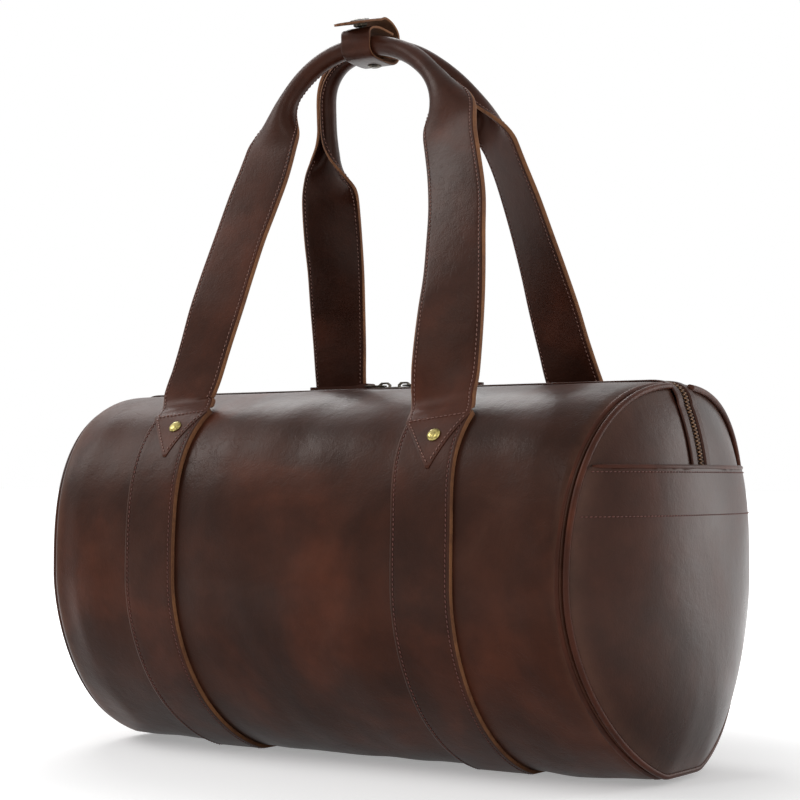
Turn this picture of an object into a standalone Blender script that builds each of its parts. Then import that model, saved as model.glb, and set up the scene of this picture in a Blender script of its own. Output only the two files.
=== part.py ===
"""Barrel travel bag in pull-up leather: two-slider zip, end slip pockets, rolled handles, snap keeper.

X runs along the bag, the front is at -Y, Z is up, and the origin lies on the floor under the middle.
The rows that wrap the barrel all come from one section curve with a radial offset, so they nest.
"""

import math

import bmesh
import bpy
from mathutils import Matrix, Vector

# Clearances
SEAT_GAP = 0.0003
CUT_OVERRUN = 0.002

# Barrel
BODY_LENGTH = 0.482
BODY_WIDTH = 0.275
BODY_HEIGHT = 0.279
SHOULDER_LENGTH = 0.041
FLOOR_FLAT = 0.004
SHELL_LEATHER = 0.0020
EDGE_ROLL = 0.0065
EDGE_ROLL_LENGTH = 0.012
SEAM_BOW = 0.016
BARREL_SEGMENTS = 36
ROLL_STEPS = 3

# Powers of the section curve: 2 is round, more is squarer
SHOULDER_POWER = 2.84
BELLY_POWER = 1.90
END_SHOULDER_POWER = 2.46
END_BELLY_POWER = 1.78

# Ends
PIPING_RADIUS = 0.0022
PIPING_DROP = 0.0030
RIM_DROP = 0.0060
END_LEATHER = 0.0016
END_STANDOFF = 0.0018
END_BULGE = 0.0185
END_POWER = 3.6
END_RING_SHARES = (1.0, 0.92, 0.78, 0.58, 0.32)
POCKET_LEATHER = 0.0018
POCKET_STANDOFF = 0.0029
POCKET_SLACK = 0.0080
POCKET_TOP = 0.2185
BINDING_WIDTH = 0.0040
BINDING_THICKNESS = 0.0012
BINDING_INSET = 0.0030
BINDING_CLEARANCE = 0.0012

# Lining
LINING_THICKNESS = 0.0006
LINING_DROP = 0.0040
LINING_SEGMENTS = 18
LINING_END_INSET = 0.0035
LINING_END_DROP = 0.0150

# Body straps
STRAP_WIDTH = 0.048
STRAP_SPACING = 0.242
STRAPS_MIDDLE = -0.0045
STRAP_THICKNESS = 0.0030
STRAP_END_ABOVE_HINGE = 0.005

# Handles
HINGE_ANGLE = math.radians(42.7)
GRIP_HEIGHT = 0.547
GRIP_ARC_RADIUS = 0.085
GRIP_DIAMETER = 0.0150
GRIP_LEAN = 0.0205
LEAN_START_SHARE = 0.52
LEAN_POWER = 2.8
HANDLE_THICKNESS = 0.0040
FRONT_GRIP_LENGTH = 0.1574
REAR_GRIP_LENGTH = 0.1914
HANDLE_ROLL_LENGTH = 0.048
HANDLE_EDGE_GAP = 0.0005
HANDLE_SECTION_STEPS = 10
FLAT_HALF_TURN = 0.03
LEG_STATIONS = 4
ROLL_STATIONS = 8
GRIP_STATIONS = 9
CORE_CLEARANCE = 0.0006
ROOT_THICKNESS = 0.0016
ROOT_SKIVE_LENGTH = 0.016
ROOT_END_SHARE = 0.6

# Sewn handle ends and their rivets
TAB_THICKNESS = 0.0020
TAB_SKIVED_EDGE = 0.0006
TAB_SETBACK = 0.0033
TAB_LENGTH = 0.042
TAB_TIP_WIDTH = 0.003
RIVET_FACET_SHARE = 0.42
RIVET_HEAD = 0.0098
RIVET_HEAD_RISE = 0.0022
RIVET_SHANK = 0.0030
RIVET_BACK = 0.0086
RIVET_BACK_THICKNESS = 0.0009
TURNED_STEPS = 14

# Zip
SLOT_WIDTH = 0.024
TAPE_THICKNESS = 0.0008
TAPE_DROP = 0.0009
CHAIN_GAP = 0.0016
TEETH_WIDTH = 0.0026
TEETH_HEIGHT = 0.0018
ZIP_CORNER = 0.014
ZIP_CORNER_SHARE = 0.92
ZIP_END_SHARE = 0.50
ZIP_STOP_LENGTH = 0.004
ZIP_TAIL = 0.006
CORNER_STEPS = 5
DOME_STEPS = 5

# Sliders and pulls
SLIDER_LENGTH = 0.016
SLIDER_WIDTH = 0.011
SLIDER_PLATE = 0.0012
SLIDER_WALL = 0.0014
SLIDER_NOSE_GAP = 0.003
DIVIDER_THICKNESS = 0.0010
DIVIDER_LENGTH = 0.005
BRIDGE_LENGTH = 0.0115
BRIDGE_RISE = 0.0038
BRIDGE_WIDTH = 0.0024
BRIDGE_WALL = 0.0013
SLIDER_BEVEL = 0.0003
LINK_WIRE = 0.0012
LINK_LENGTH = 0.014
LINK_INNER_WIDTH = 0.0050
LINK_OUTER_WIDTH = 0.0126
PULL_WIDTH = 0.0100
PULL_PLY = 0.0014
PULL_LENGTH = 0.056
PULL_TIP_ROUND = 0.0040

# Keeper
KEEPER_WIDTH = 0.027
KEEPER_THICKNESS = 0.0020
KEEPER_X = -0.0245
KEEPER_SLACK = 0.0030
KEEPER_BACK_SLACK = 0.0055
KEEPER_SNAP_HEADROOM = 0.0042
KEEPER_TIP_REACH = 0.035
KEEPER_TIP_SINK = 0.0060
SNAP_Y_SHARE = 1.35
SNAP_TILT = math.radians(14.0)
SNAP_CAP = 0.0150
SNAP_CAP_RISE = 0.0014
SNAP_SOCKET = 0.0110
SNAP_SOCKET_HEIGHT = 0.0025
SNAP_POST = 0.0034
SNAP_FLANGE = 0.0080
SNAP_FLANGE_THICKNESS = 0.0006
SNAP_PITCH = 0.0062
KEEPER_RIVET_HEAD = 0.0110
KEEPER_RIVET_BITE = 0.0025

# Finishes: colour, roughness, metallic
LEATHER = ((0.042, 0.018, 0.012, 1.0), 0.42, 0.0)
STRAP_LEATHER = ((0.050, 0.021, 0.014, 1.0), 0.45, 0.0)
RAW_LEATHER = ((0.230, 0.090, 0.035, 1.0), 0.70, 0.0)
CLOTH = ((0.110, 0.075, 0.050, 1.0), 0.90, 0.0)
TAPE_CLOTH = ((0.050, 0.026, 0.018, 1.0), 0.85, 0.0)
CORD = ((0.300, 0.240, 0.170, 1.0), 0.90, 0.0)
BRASS = ((0.300, 0.200, 0.070, 1.0), 0.35, 1.0)
DARK_BRASS = ((0.060, 0.045, 0.030, 1.0), 0.40, 1.0)

# Derived places
HALF_LENGTH = BODY_LENGTH / 2
STRAIGHT_END = HALF_LENGTH - SHOULDER_LENGTH
CENTRE_Z = BODY_HEIGHT / 2 - FLOOR_FLAT + SEAT_GAP + STRAP_THICKNESS
TOP_Z = CENTRE_Z + BODY_HEIGHT / 2
STRAP_TOP = SEAT_GAP + STRAP_THICKNESS
TAB_BASE = STRAP_TOP + SEAT_GAP
TAB_TOP = TAB_BASE + TAB_THICKNESS
HINGE_OFFSET = TAB_BASE + ROOT_THICKNESS / 2
GRIP_RADIUS = GRIP_DIAMETER / 2
BINDING_DROP = EDGE_ROLL + BINDING_CLEARANCE
GRIP_Y = GRIP_RADIUS + SEAT_GAP
ROLLED_WIDTH = 2 * math.pi * (GRIP_RADIUS - HANDLE_THICKNESS / 2) - HANDLE_EDGE_GAP
TEETH_BASE = SEAT_GAP - TAPE_DROP
TEETH_TOP = TEETH_BASE + TEETH_HEIGHT


def lerp(start, end, share):
    return start + (end - start) * share


def smooth_share(value, start, end):
    share = min(max((value - start) / (end - start), 0.0), 1.0)
    return share * share * (3.0 - 2.0 * share)


def new_collection(name):
    collection = bpy.data.collections.new(name)
    bpy.context.scene.collection.children.link(collection)
    return collection


def finish(obj, look, collection=None):
    """Gives the piece its own material and moves it to its collection."""
    colour, roughness, metallic = look
    material = bpy.data.materials.new(obj.name + "_material")
    material.use_nodes = True
    shader = material.node_tree.nodes["Principled BSDF"]
    shader.inputs["Base Color"].default_value = colour
    shader.inputs["Roughness"].default_value = roughness
    shader.inputs["Metallic"].default_value = metallic
    obj.data.materials.clear()
    obj.data.materials.append(material)
    for old in list(obj.users_collection):
        old.objects.unlink(obj)
    (collection or PARTS).objects.link(obj)
    return obj


def object_from_bmesh(name, bm):
    mesh = bpy.data.meshes.new(name)
    bm.to_mesh(mesh)
    bm.free()
    obj = bpy.data.objects.new(name, mesh)
    bpy.context.scene.collection.objects.link(obj)
    return obj


def outward(bm, inside):
    """Turns an open surface's faces away from a point inside it."""
    face = max(bm.faces, key=lambda f: f.calc_area())
    if face.normal.dot(face.calc_center_median() - inside) < 0:
        bmesh.ops.reverse_faces(bm, faces=bm.faces[:])


def loft(name, rings, closed=True):
    """Skins rings of equal count; closed rings give a capped solid, open ones a surface."""
    bm = bmesh.new()
    rows = [[bm.verts.new(point) for point in ring] for ring in rings]
    count = len(rings[0])
    span = count if closed else count - 1
    for lower, upper in zip(rows, rows[1:]):
        for i in range(span):
            j = (i + 1) % count
            bm.faces.new((lower[i], lower[j], upper[j], upper[i]))
    if closed:
        bm.faces.new(rows[0][::-1])
        bm.faces.new(rows[-1])
        bmesh.ops.recalc_face_normals(bm, faces=bm.faces[:])
    bm.normal_update()
    return bm


def solidify(obj, thickness):
    shell = obj.modifiers.new("wall", "SOLIDIFY")
    shell.thickness = thickness
    shell.offset = -1.0
    shell.use_even_offset = True
    return obj


def smooth(obj, angle=math.radians(40)):
    obj.data.shade_smooth()
    obj.data.set_sharp_from_angle(angle=angle)
    return obj


def hide_cutter(obj):
    for old in list(obj.users_collection):
        old.objects.unlink(obj)
    CUTTERS.objects.link(obj)
    obj.hide_render = True
    obj.display_type = "WIRE"
    return obj


def boolean(obj, tool, operation="DIFFERENCE"):
    modifier = obj.modifiers.new(operation.lower(), "BOOLEAN")
    modifier.operation = operation
    modifier.solver = "EXACT"
    modifier.object = tool
    return obj


def box(name, low, high):
    bm = bmesh.new()
    size = Vector(high) - Vector(low)
    middle = (Vector(high) + Vector(low)) / 2
    bmesh.ops.create_cube(bm, size=1.0, matrix=Matrix.Translation(middle) @ Matrix.Diagonal(size.to_4d()))
    return object_from_bmesh(name, bm)


def extruded(name, outline, half_width):
    """Extrudes an outline of (x, z) points to both sides of the XZ plane."""
    rings = [[(x, y, z) for x, z in outline] for y in (-half_width, half_width)]
    return object_from_bmesh(name, loft(name, rings))


def turned(name, profile, place, axis):
    """Turns a (radius, height) profile about its axis and stands it at a place."""
    bm = bmesh.new()
    verts = [bm.verts.new((radius, 0.0, height)) for radius, height in profile]
    edges = [bm.edges.new(pair) for pair in zip(verts, verts[1:])]
    bmesh.ops.spin(bm, geom=verts + edges, cent=(0, 0, 0), axis=(0, 0, 1), angle=2 * math.pi,
                   steps=TURNED_STEPS, use_merge=True)
    bmesh.ops.remove_doubles(bm, verts=bm.verts[:], dist=0.00001)
    bmesh.ops.recalc_face_normals(bm, faces=bm.faces[:])
    obj = object_from_bmesh(name, bm)
    obj.matrix_world = Matrix.Translation(place) @ Vector((0, 0, 1)).rotation_difference(axis).to_matrix().to_4x4()
    return obj


def cylinder(name, radius, low, high, place, axis):
    """A round cutter along an axis, from low to high beside a place."""
    bm = bmesh.new()
    bmesh.ops.create_cone(bm, cap_ends=True, segments=TURNED_STEPS, radius1=radius, radius2=radius,
                          depth=high - low, matrix=Matrix.Translation((0, 0, (low + high) / 2)))
    obj = object_from_bmesh(name, bm)
    obj.matrix_world = Matrix.Translation(place) @ Vector((0, 0, 1)).rotation_difference(axis).to_matrix().to_4x4()
    return hide_cutter(obj)


def tube(name, points, radius, cyclic=False, sides_resolution=1):
    """A round bar or cord along straight runs between points, as a welded mesh."""
    curve = bpy.data.curves.new(name, "CURVE")
    curve.dimensions = "3D"
    curve.bevel_depth = radius
    curve.bevel_resolution = sides_resolution
    curve.use_fill_caps = True
    spline = curve.splines.new("POLY")
    spline.points.add(len(points) - 1)
    for target, point in zip(spline.points, points):
        target.co = (*point, 1.0)
    spline.use_cyclic_u = cyclic
    guide = bpy.data.objects.new(name + "_route", curve)
    bpy.context.scene.collection.objects.link(guide)
    graph = bpy.context.evaluated_depsgraph_get()
    mesh = bpy.data.meshes.new_from_object(guide.evaluated_get(graph))
    bm = bmesh.new()
    bm.from_mesh(mesh)
    bmesh.ops.remove_doubles(bm, verts=bm.verts[:], dist=0.00001)
    bmesh.ops.recalc_face_normals(bm, faces=bm.faces[:])
    bpy.data.objects.remove(guide)
    bpy.data.meshes.remove(mesh)
    return object_from_bmesh(name, bm)


def section(angle, offset=0.0, end_share=0.0):
    """The barrel's outline at an angle from the top, towards -Y first, as (y, z)."""
    half_width = BODY_WIDTH / 2 + offset
    half_height = BODY_HEIGHT / 2 + offset
    across = math.sin(angle)
    up = math.cos(angle)
    if up >= 0:
        power = lerp(SHOULDER_POWER, END_SHOULDER_POWER, end_share)
    else:
        power = lerp(BELLY_POWER, END_BELLY_POWER, end_share)
    reach = (abs(across / half_width) ** power + abs(up / half_height) ** power) ** (-1.0 / power)
    floor = FLOOR_FLAT - BODY_HEIGHT / 2 - offset
    return -reach * across, CENTRE_Z + max(reach * up, floor)


def slot_angle(half_slot, offset, end_share):
    """The angle at which the section stands half a slot from the middle."""
    low, high = 0.0, math.pi / 4
    for _ in range(40):
        middle = (low + high) / 2
        if abs(section(middle, offset, end_share)[0]) < half_slot:
            low = middle
        else:
            high = middle
    return low


def angle_at_distance(start, distance, offset):
    """Walks along the section from an angle and returns the angle reached."""
    step = math.copysign(0.002, distance)
    angle = start
    travelled = 0.0
    y0, z0 = section(angle, offset)
    while travelled < abs(distance):
        angle += step
        y1, z1 = section(angle, offset)
        travelled += math.hypot(y1 - y0, z1 - z0)
        y0, z0 = y1, z1
    return angle


def barrel_angles(segments):
    return [2 * math.pi * (i + 0.5) / segments for i in range(segments)]


def end_point(angle, share, stand, bulge, drop=RIM_DROP):
    """A point of the right end's dome: share 1 is its rim, 0 its middle."""
    y, z = section(angle, -drop, 1.0)
    bow = SEAM_BOW * (math.sin(angle) * share) ** 2
    x = HALF_LENGTH + stand - bow + bulge * (1.0 - share ** END_POWER)
    return Vector((x, y * share, CENTRE_Z + (z - CENTRE_Z) * share))


def mirrored(obj, name):
    """A copy on the other end of the bag, mirrored in X with its faces still outward."""
    graph = bpy.context.evaluated_depsgraph_get()
    mesh = bpy.data.meshes.new_from_object(obj.evaluated_get(graph))
    mesh.transform(obj.matrix_world)
    bm = bmesh.new()
    bm.from_mesh(mesh)
    bmesh.ops.scale(bm, vec=(-1, 1, 1), verts=bm.verts[:])
    bmesh.ops.reverse_faces(bm, faces=bm.faces[:])
    bpy.data.meshes.remove(mesh)
    return object_from_bmesh(name, bm)


def wrap(name, angles, low, high, x_span):
    """A strip round the barrel: x_span(angle) gives its two edges, high its outer offsets."""
    rings = []
    for angle, top in zip(angles, high):
        left, right = x_span(angle)
        y0, z0 = section(angle, low)
        y1, z1 = section(angle, top)
        rings.append([(left, y0, z0), (right, y0, z0), (right, y1, z1), (left, y1, z1)])
    return object_from_bmesh(name, loft(name, rings))


def barrel_rows(drop, reach):
    """Stations of the right half: (x, end share, radial offset), the last ones rolled in."""
    rows = [(STRAIGHT_END, 0.0, -drop)]
    middle = (STRAIGHT_END + reach - EDGE_ROLL_LENGTH) / 2
    rows.append((middle, (middle - STRAIGHT_END) / SHOULDER_LENGTH, -drop))
    for step in range(ROLL_STEPS + 1):
        turn = math.pi / 2 * step / ROLL_STEPS
        x = reach - EDGE_ROLL_LENGTH * (1.0 - math.sin(turn))
        rows.append((x, (x - STRAIGHT_END) / SHOULDER_LENGTH, -drop - EDGE_ROLL * (1.0 - math.cos(turn))))
    return rows


def build_main_panel():
    rows = barrel_rows(0.0, HALF_LENGTH - SEAT_GAP)
    stations = [(-x, share, drop) for x, share, drop in rows[::-1]] + rows
    grid = []
    for x, share, offset in stations:
        first = slot_angle(SLOT_WIDTH / 2, offset, share)
        angles = [first] + barrel_angles(BARREL_SEGMENTS)[1:-1] + [2 * math.pi - first]
        row = []
        for angle in angles:
            y, z = section(angle, offset, share)
            bow = SEAM_BOW * math.sin(angle) ** 2 * share
            row.append((x - math.copysign(bow, x), y, z))
        grid.append(row)
    bm = loft("main_panel", grid, closed=False)
    outward(bm, Vector((0, 0, CENTRE_Z)))
    panel = solidify(object_from_bmesh("main_panel", bm), SHELL_LEATHER)
    return smooth(finish(panel, LEATHER))


def build_lining():
    """The cloth liner: a barrel with closed ends and the zip's slot cut through it."""
    rows = [(STRAIGHT_END, 0.0, LINING_DROP)]
    rows.append((HALF_LENGTH - 2 * EDGE_ROLL_LENGTH, 0.5, LINING_DROP + EDGE_ROLL / 2))
    half = []
    angles = barrel_angles(LINING_SEGMENTS)
    for x, share, drop in rows:
        ring = []
        for angle in angles:
            y, z = section(angle, -drop, share)
            ring.append((x - SEAM_BOW * math.sin(angle) ** 2 * share, y, z))
        half.append(ring)
    for share in (0.97, 0.6, 0.25):
        half.append([end_point(angle, share, -LINING_END_INSET, END_BULGE, LINING_END_DROP) for angle in angles])
    rings = [[(-x, y, z) for x, y, z in ring] for ring in half[::-1]] + half
    lining = solidify(object_from_bmesh("lining", loft("lining", rings)), LINING_THICKNESS)
    slot_low = CENTRE_Z + ZIP_END_SHARE * (BODY_HEIGHT / 2 - RIM_DROP) - ZIP_TAIL - CUT_OVERRUN
    overlap = SLOT_WIDTH / 2 + CUT_OVERRUN
    reach = BODY_LENGTH
    end_cutter = box("lining_slot_cutter", (-reach, -overlap, slot_low), (reach, overlap, BODY_HEIGHT + CENTRE_Z))
    inner = HALF_LENGTH - 2 * EDGE_ROLL_LENGTH
    keep = box("lining_slot_limit", (-inner, -2 * overlap, slot_low - CUT_OVERRUN),
               (inner, 2 * overlap, TOP_Z - LINING_DROP - 2 * CUT_OVERRUN))
    boolean(end_cutter, hide_cutter(keep))
    boolean(lining, hide_cutter(end_cutter))
    return smooth(finish(lining, CLOTH))


def build_end(side_name):
    """The right end: domed panel with the zip's slot, slip pocket, piping and bound seam."""
    angles = barrel_angles(BARREL_SEGMENTS)

    def dome(name, stand, bulge):
        bm = bmesh.new()
        rows = [[bm.verts.new(end_point(a, share, stand, bulge)) for a in angles] for share in END_RING_SHARES]
        for outer, inner in zip(rows, rows[1:]):
            for i in range(len(angles)):
                j = (i + 1) % len(angles)
                bm.faces.new((outer[i], outer[j], inner[j], inner[i]))
        middle = bm.verts.new(end_point(0.0, 0.0, stand, bulge))
        for i in range(len(angles)):
            bm.faces.new((rows[-1][i], rows[-1][(i + 1) % len(angles)], middle))
        bmesh.ops.recalc_face_normals(bm, faces=bm.faces[:])
        outward(bm, Vector((0, 0, CENTRE_Z)))
        return bm

    panel = solidify(object_from_bmesh("end_panel_" + side_name, dome("panel", END_STANDOFF, END_BULGE)), END_LEATHER)
    slot_low = end_point(0.0, ZIP_END_SHARE, 0.0, 0.0).z - ZIP_TAIL
    cutter = box("end_slot_cutter_" + side_name, (HALF_LENGTH - SHOULDER_LENGTH, -SLOT_WIDTH / 2, slot_low),
                 (HALF_LENGTH + SHOULDER_LENGTH, SLOT_WIDTH / 2, TOP_Z + CUT_OVERRUN))
    boolean(panel, hide_cutter(cutter))
    smooth(finish(panel, LEATHER))

    pocket_stand = END_STANDOFF + POCKET_STANDOFF
    bm = dome("pocket", pocket_stand, END_BULGE + POCKET_SLACK)
    geometry = bm.verts[:] + bm.edges[:] + bm.faces[:]
    bmesh.ops.bisect_plane(bm, geom=geometry, plane_co=(0, 0, POCKET_TOP), plane_no=(0, 0, 1), clear_outer=True)
    pocket = solidify(object_from_bmesh("end_pocket_" + side_name, bm), POCKET_LEATHER)
    smooth(finish(pocket, LEATHER))

    start = slot_angle(SLOT_WIDTH / 2 + PIPING_RADIUS + SEAT_GAP, -PIPING_DROP, 1.0)
    route = []
    for angle in [start] + angles[1:-1] + [2 * math.pi - start]:
        y, z = section(angle, -PIPING_DROP, 1.0)
        x = HALF_LENGTH + PIPING_RADIUS - SEAM_BOW * math.sin(angle) ** 2
        route.append((x, y, z))
    piping = tube("piping_" + side_name, route, PIPING_RADIUS)
    smooth(finish(piping, STRAP_LEATHER), math.radians(70))

    rings = []
    inset = HALF_LENGTH - BINDING_INSET
    start = slot_angle(SLOT_WIDTH / 2 + CUT_OVERRUN, -BINDING_DROP, 1.0)
    for angle in [start] + angles[1:-1] + [2 * math.pi - start]:
        bow = SEAM_BOW * math.sin(angle) ** 2
        ring = []
        for x, drop in ((inset, BINDING_DROP), (inset + BINDING_THICKNESS, BINDING_DROP),
                        (inset + BINDING_THICKNESS, BINDING_DROP + BINDING_WIDTH), (inset, BINDING_DROP + BINDING_WIDTH)):
            y, z = section(angle, -drop, 1.0)
            ring.append((x - bow, y, z))
        rings.append(ring)
    binding = object_from_bmesh("seam_binding_" + side_name, loft("binding", rings))
    finish(binding, CLOTH)
    return panel, pocket, piping, binding


def build_ends():
    looks = (LEATHER, LEATHER, STRAP_LEATHER, CLOTH)
    for piece, look in zip(build_end("right"), looks):
        copy = mirrored(piece, piece.name.replace("right", "left"))
        finish(copy, look)
        copy.data.shade_smooth()
        copy.data.set_sharp_from_angle(angle=math.radians(40))


def strap_angles(first, last):
    """Barrel grid angles between two angles, with both ends added."""
    inner = [a for a in barrel_angles(BARREL_SEGMENTS) if first + 0.01 < a < last - 0.01]
    return [first] + inner + [last]


def rivet_place(side, front):
    """A rivet's place on the facet that carries it, its outward direction, and the depth of the layers."""
    step = 2 * math.pi / BARREL_SEGMENTS
    facet = math.floor(HINGE_ANGLE / step + 0.5) + 1
    ends = [Vector((0.0, *section(step * (facet + share), TAB_TOP))) for share in (-0.5, 0.5)]
    place = ends[0].lerp(ends[1], RIVET_FACET_SHARE)
    run = ends[1] - ends[0]
    axis = Vector((0.0, -run.z, run.y)).normalized()
    if axis.z < 0:
        axis = -axis
    panel = Vector((0.0, *section(step * (facet + 0.5))))
    depth = (place - panel).dot(axis) + SHELL_LEATHER
    place.x = STRAPS_MIDDLE + side * STRAP_SPACING / 2
    if not front:
        place.y = -place.y
        axis.y = -axis.y
    return place, axis, depth


def build_body_straps():
    start = angle_at_distance(HINGE_ANGLE, -STRAP_END_ABOVE_HINGE, STRAP_TOP)
    angles = strap_angles(start, 2 * math.pi - start)
    for side, side_name in ((-1, "left"), (1, "right")):
        middle = STRAPS_MIDDLE + side * STRAP_SPACING / 2
        edges = (middle - STRAP_WIDTH / 2, middle + STRAP_WIDTH / 2)
        strap = wrap("body_strap_" + side_name, angles, SEAT_GAP, [STRAP_TOP] * len(angles), lambda angle: edges)
        smooth(finish(strap, STRAP_LEATHER))


def build_handle_ends():
    """The pointed, sewn ends of the handles, each held by a rivet through every layer."""
    first = angle_at_distance(HINGE_ANGLE, TAB_SETBACK, TAB_TOP)
    last = angle_at_distance(HINGE_ANGLE, TAB_LENGTH, TAB_TOP)

    def span(angle, middle):
        share = (angle - first) / (last - first)
        half = lerp(STRAP_WIDTH, TAB_TIP_WIDTH, share) / 2
        return middle - half, middle + half

    layers = ("main_panel", "body_strap_left", "body_strap_right")
    for front, row_name in ((True, "front"), (False, "rear")):
        for side, side_name in ((-1, "left"), (1, "right")):
            label = row_name + "_" + side_name
            middle = STRAPS_MIDDLE + side * STRAP_SPACING / 2
            angles = strap_angles(first, last)
            tops = [TAB_BASE + TAB_SKIVED_EDGE] + [TAB_TOP] * (len(angles) - 1)
            if front:
                tab = wrap("handle_end_" + label, angles, TAB_BASE, tops, lambda a: span(a, middle))
            else:
                back = [2 * math.pi - a for a in angles]
                tab = wrap("handle_end_" + label, back, TAB_BASE, tops, lambda a: span(2 * math.pi - a, middle))
            smooth(finish(tab, STRAP_LEATHER))
            place, axis, depth = rivet_place(side, front)
            inner_face = -depth
            hole = cylinder("rivet_hole_" + label, RIVET_SHANK / 2 + SEAT_GAP, inner_face - CUT_OVERRUN,
                            CUT_OVERRUN, place, axis)
            for layer in layers[:1] + (layers[1 if side < 0 else 2],):
                boolean(bpy.data.objects[layer], hole)
            boolean(tab, hole)
            back_face = inner_face - SEAT_GAP
            head = RIVET_HEAD / 2
            rivet = turned("rivet_" + label, (
                (0.0, SEAT_GAP + RIVET_HEAD_RISE),
                (head * 0.45, SEAT_GAP + RIVET_HEAD_RISE * 0.93),
                (head * 0.82, SEAT_GAP + RIVET_HEAD_RISE * 0.62),
                (head, SEAT_GAP + RIVET_HEAD_RISE * 0.18),
                (head * 0.95, SEAT_GAP),
                (RIVET_SHANK / 2, SEAT_GAP),
                (RIVET_SHANK / 2, back_face),
                (RIVET_BACK / 2, back_face),
                (RIVET_BACK / 2, back_face - RIVET_BACK_THICKNESS),
                (0.0, back_face - RIVET_BACK_THICKNESS)), place, axis)
            smooth(finish(rivet, BRASS))


def handle_frame(front):
    """Hinge point, direction up the handle's plane, its outward side and the length to the grip."""
    side = -1 if front else 1
    y, z = section(HINGE_ANGLE, HINGE_OFFSET)
    hinge = Vector((0.0, side * abs(y), z))
    grip = Vector((0.0, side * GRIP_Y, GRIP_HEIGHT))
    rise = grip - hinge
    up = rise.normalized()
    out = Vector((0.0, -up.z, up.y)) if front else Vector((0.0, up.z, -up.y))
    return hinge, up, out, rise.length


def handle_line():
    """The even line of a handle: its height, arc centre, slope, straight length and half path length."""
    length = handle_frame(True)[3]
    root = STRAP_SPACING / 2
    arc_centre = length - GRIP_ARC_RADIUS
    distance = math.hypot(root, arc_centre)
    slope = math.atan2(root, arc_centre) - math.asin(GRIP_ARC_RADIUS / distance)
    leg = math.sqrt(distance ** 2 - GRIP_ARC_RADIUS ** 2)
    return length, arc_centre, slope, leg, leg + GRIP_ARC_RADIUS * (math.pi / 2 - slope)


def flat_length(front):
    """Path length of a leg from its hinge to where it starts to roll into the grip."""
    grip = FRONT_GRIP_LENGTH if front else REAR_GRIP_LENGTH
    return handle_line()[-1] - grip / 2 - HANDLE_ROLL_LENGTH


def handle_route(flat):
    """Centre line in the handle's plane: stations (x, height, path length) from left hinge to right."""
    length, arc_centre, slope, leg, total = handle_line()
    root = STRAP_SPACING / 2

    def place(path):
        if path < leg:
            return root - path * math.sin(slope), path * math.cos(slope)
        turn = slope + (path - leg) / GRIP_ARC_RADIUS
        return GRIP_ARC_RADIUS * math.cos(turn), arc_centre + GRIP_ARC_RADIUS * math.sin(turn)

    rolled = flat + HANDLE_ROLL_LENGTH
    paths = [0.0, ROOT_SKIVE_LENGTH / 2, ROOT_SKIVE_LENGTH]
    paths += [flat * i / LEG_STATIONS for i in range(1, LEG_STATIONS)]
    paths += [flat + HANDLE_ROLL_LENGTH * i / ROLL_STATIONS for i in range(ROLL_STATIONS)]
    paths += [lerp(rolled, total, i / GRIP_STATIONS) for i in range(GRIP_STATIONS + 1)]

    def leaned(x, height):
        start = flat * LEAN_START_SHARE
        share = max(0.0, (height - start) / (length - start)) ** LEAN_POWER
        return x + STRAPS_MIDDLE - GRIP_LEAN * share

    half = [(place(path), path) for path in paths]
    right = [(leaned(x, height), height, path) for (x, height), path in half]
    left = [(leaned(-x, height), height, path) for (x, height), path in half]
    return left + right[-2::-1]


def roll_at(path, flat):
    """Strap width and half turn of its curl at a path length from the hinge."""
    share = smooth_share(path, flat, flat + HANDLE_ROLL_LENGTH)
    width = lerp(STRAP_WIDTH, ROLLED_WIDTH, share)
    closed = math.pi * ROLLED_WIDTH / (ROLLED_WIDTH + HANDLE_EDGE_GAP + HANDLE_THICKNESS * 0.15)
    return width, lerp(FLAT_HALF_TURN, closed, share)


def curl_section(width, half_turn, thickness):
    """Points (across, outward) of a strap curled into part of a tube, outer side first."""
    radius = width / (2 * half_turn)
    shift = radius * math.sin(half_turn) / half_turn
    steps = [lerp(-half_turn, half_turn, i / HANDLE_SECTION_STEPS) for i in range(HANDLE_SECTION_STEPS + 1)]
    outer = [((radius + thickness / 2) * math.sin(t), (radius + thickness / 2) * math.cos(t) - shift) for t in steps]
    inner = [((radius - thickness / 2) * math.sin(t), (radius - thickness / 2) * math.cos(t) - shift) for t in steps]
    return outer + inner[::-1]


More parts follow.
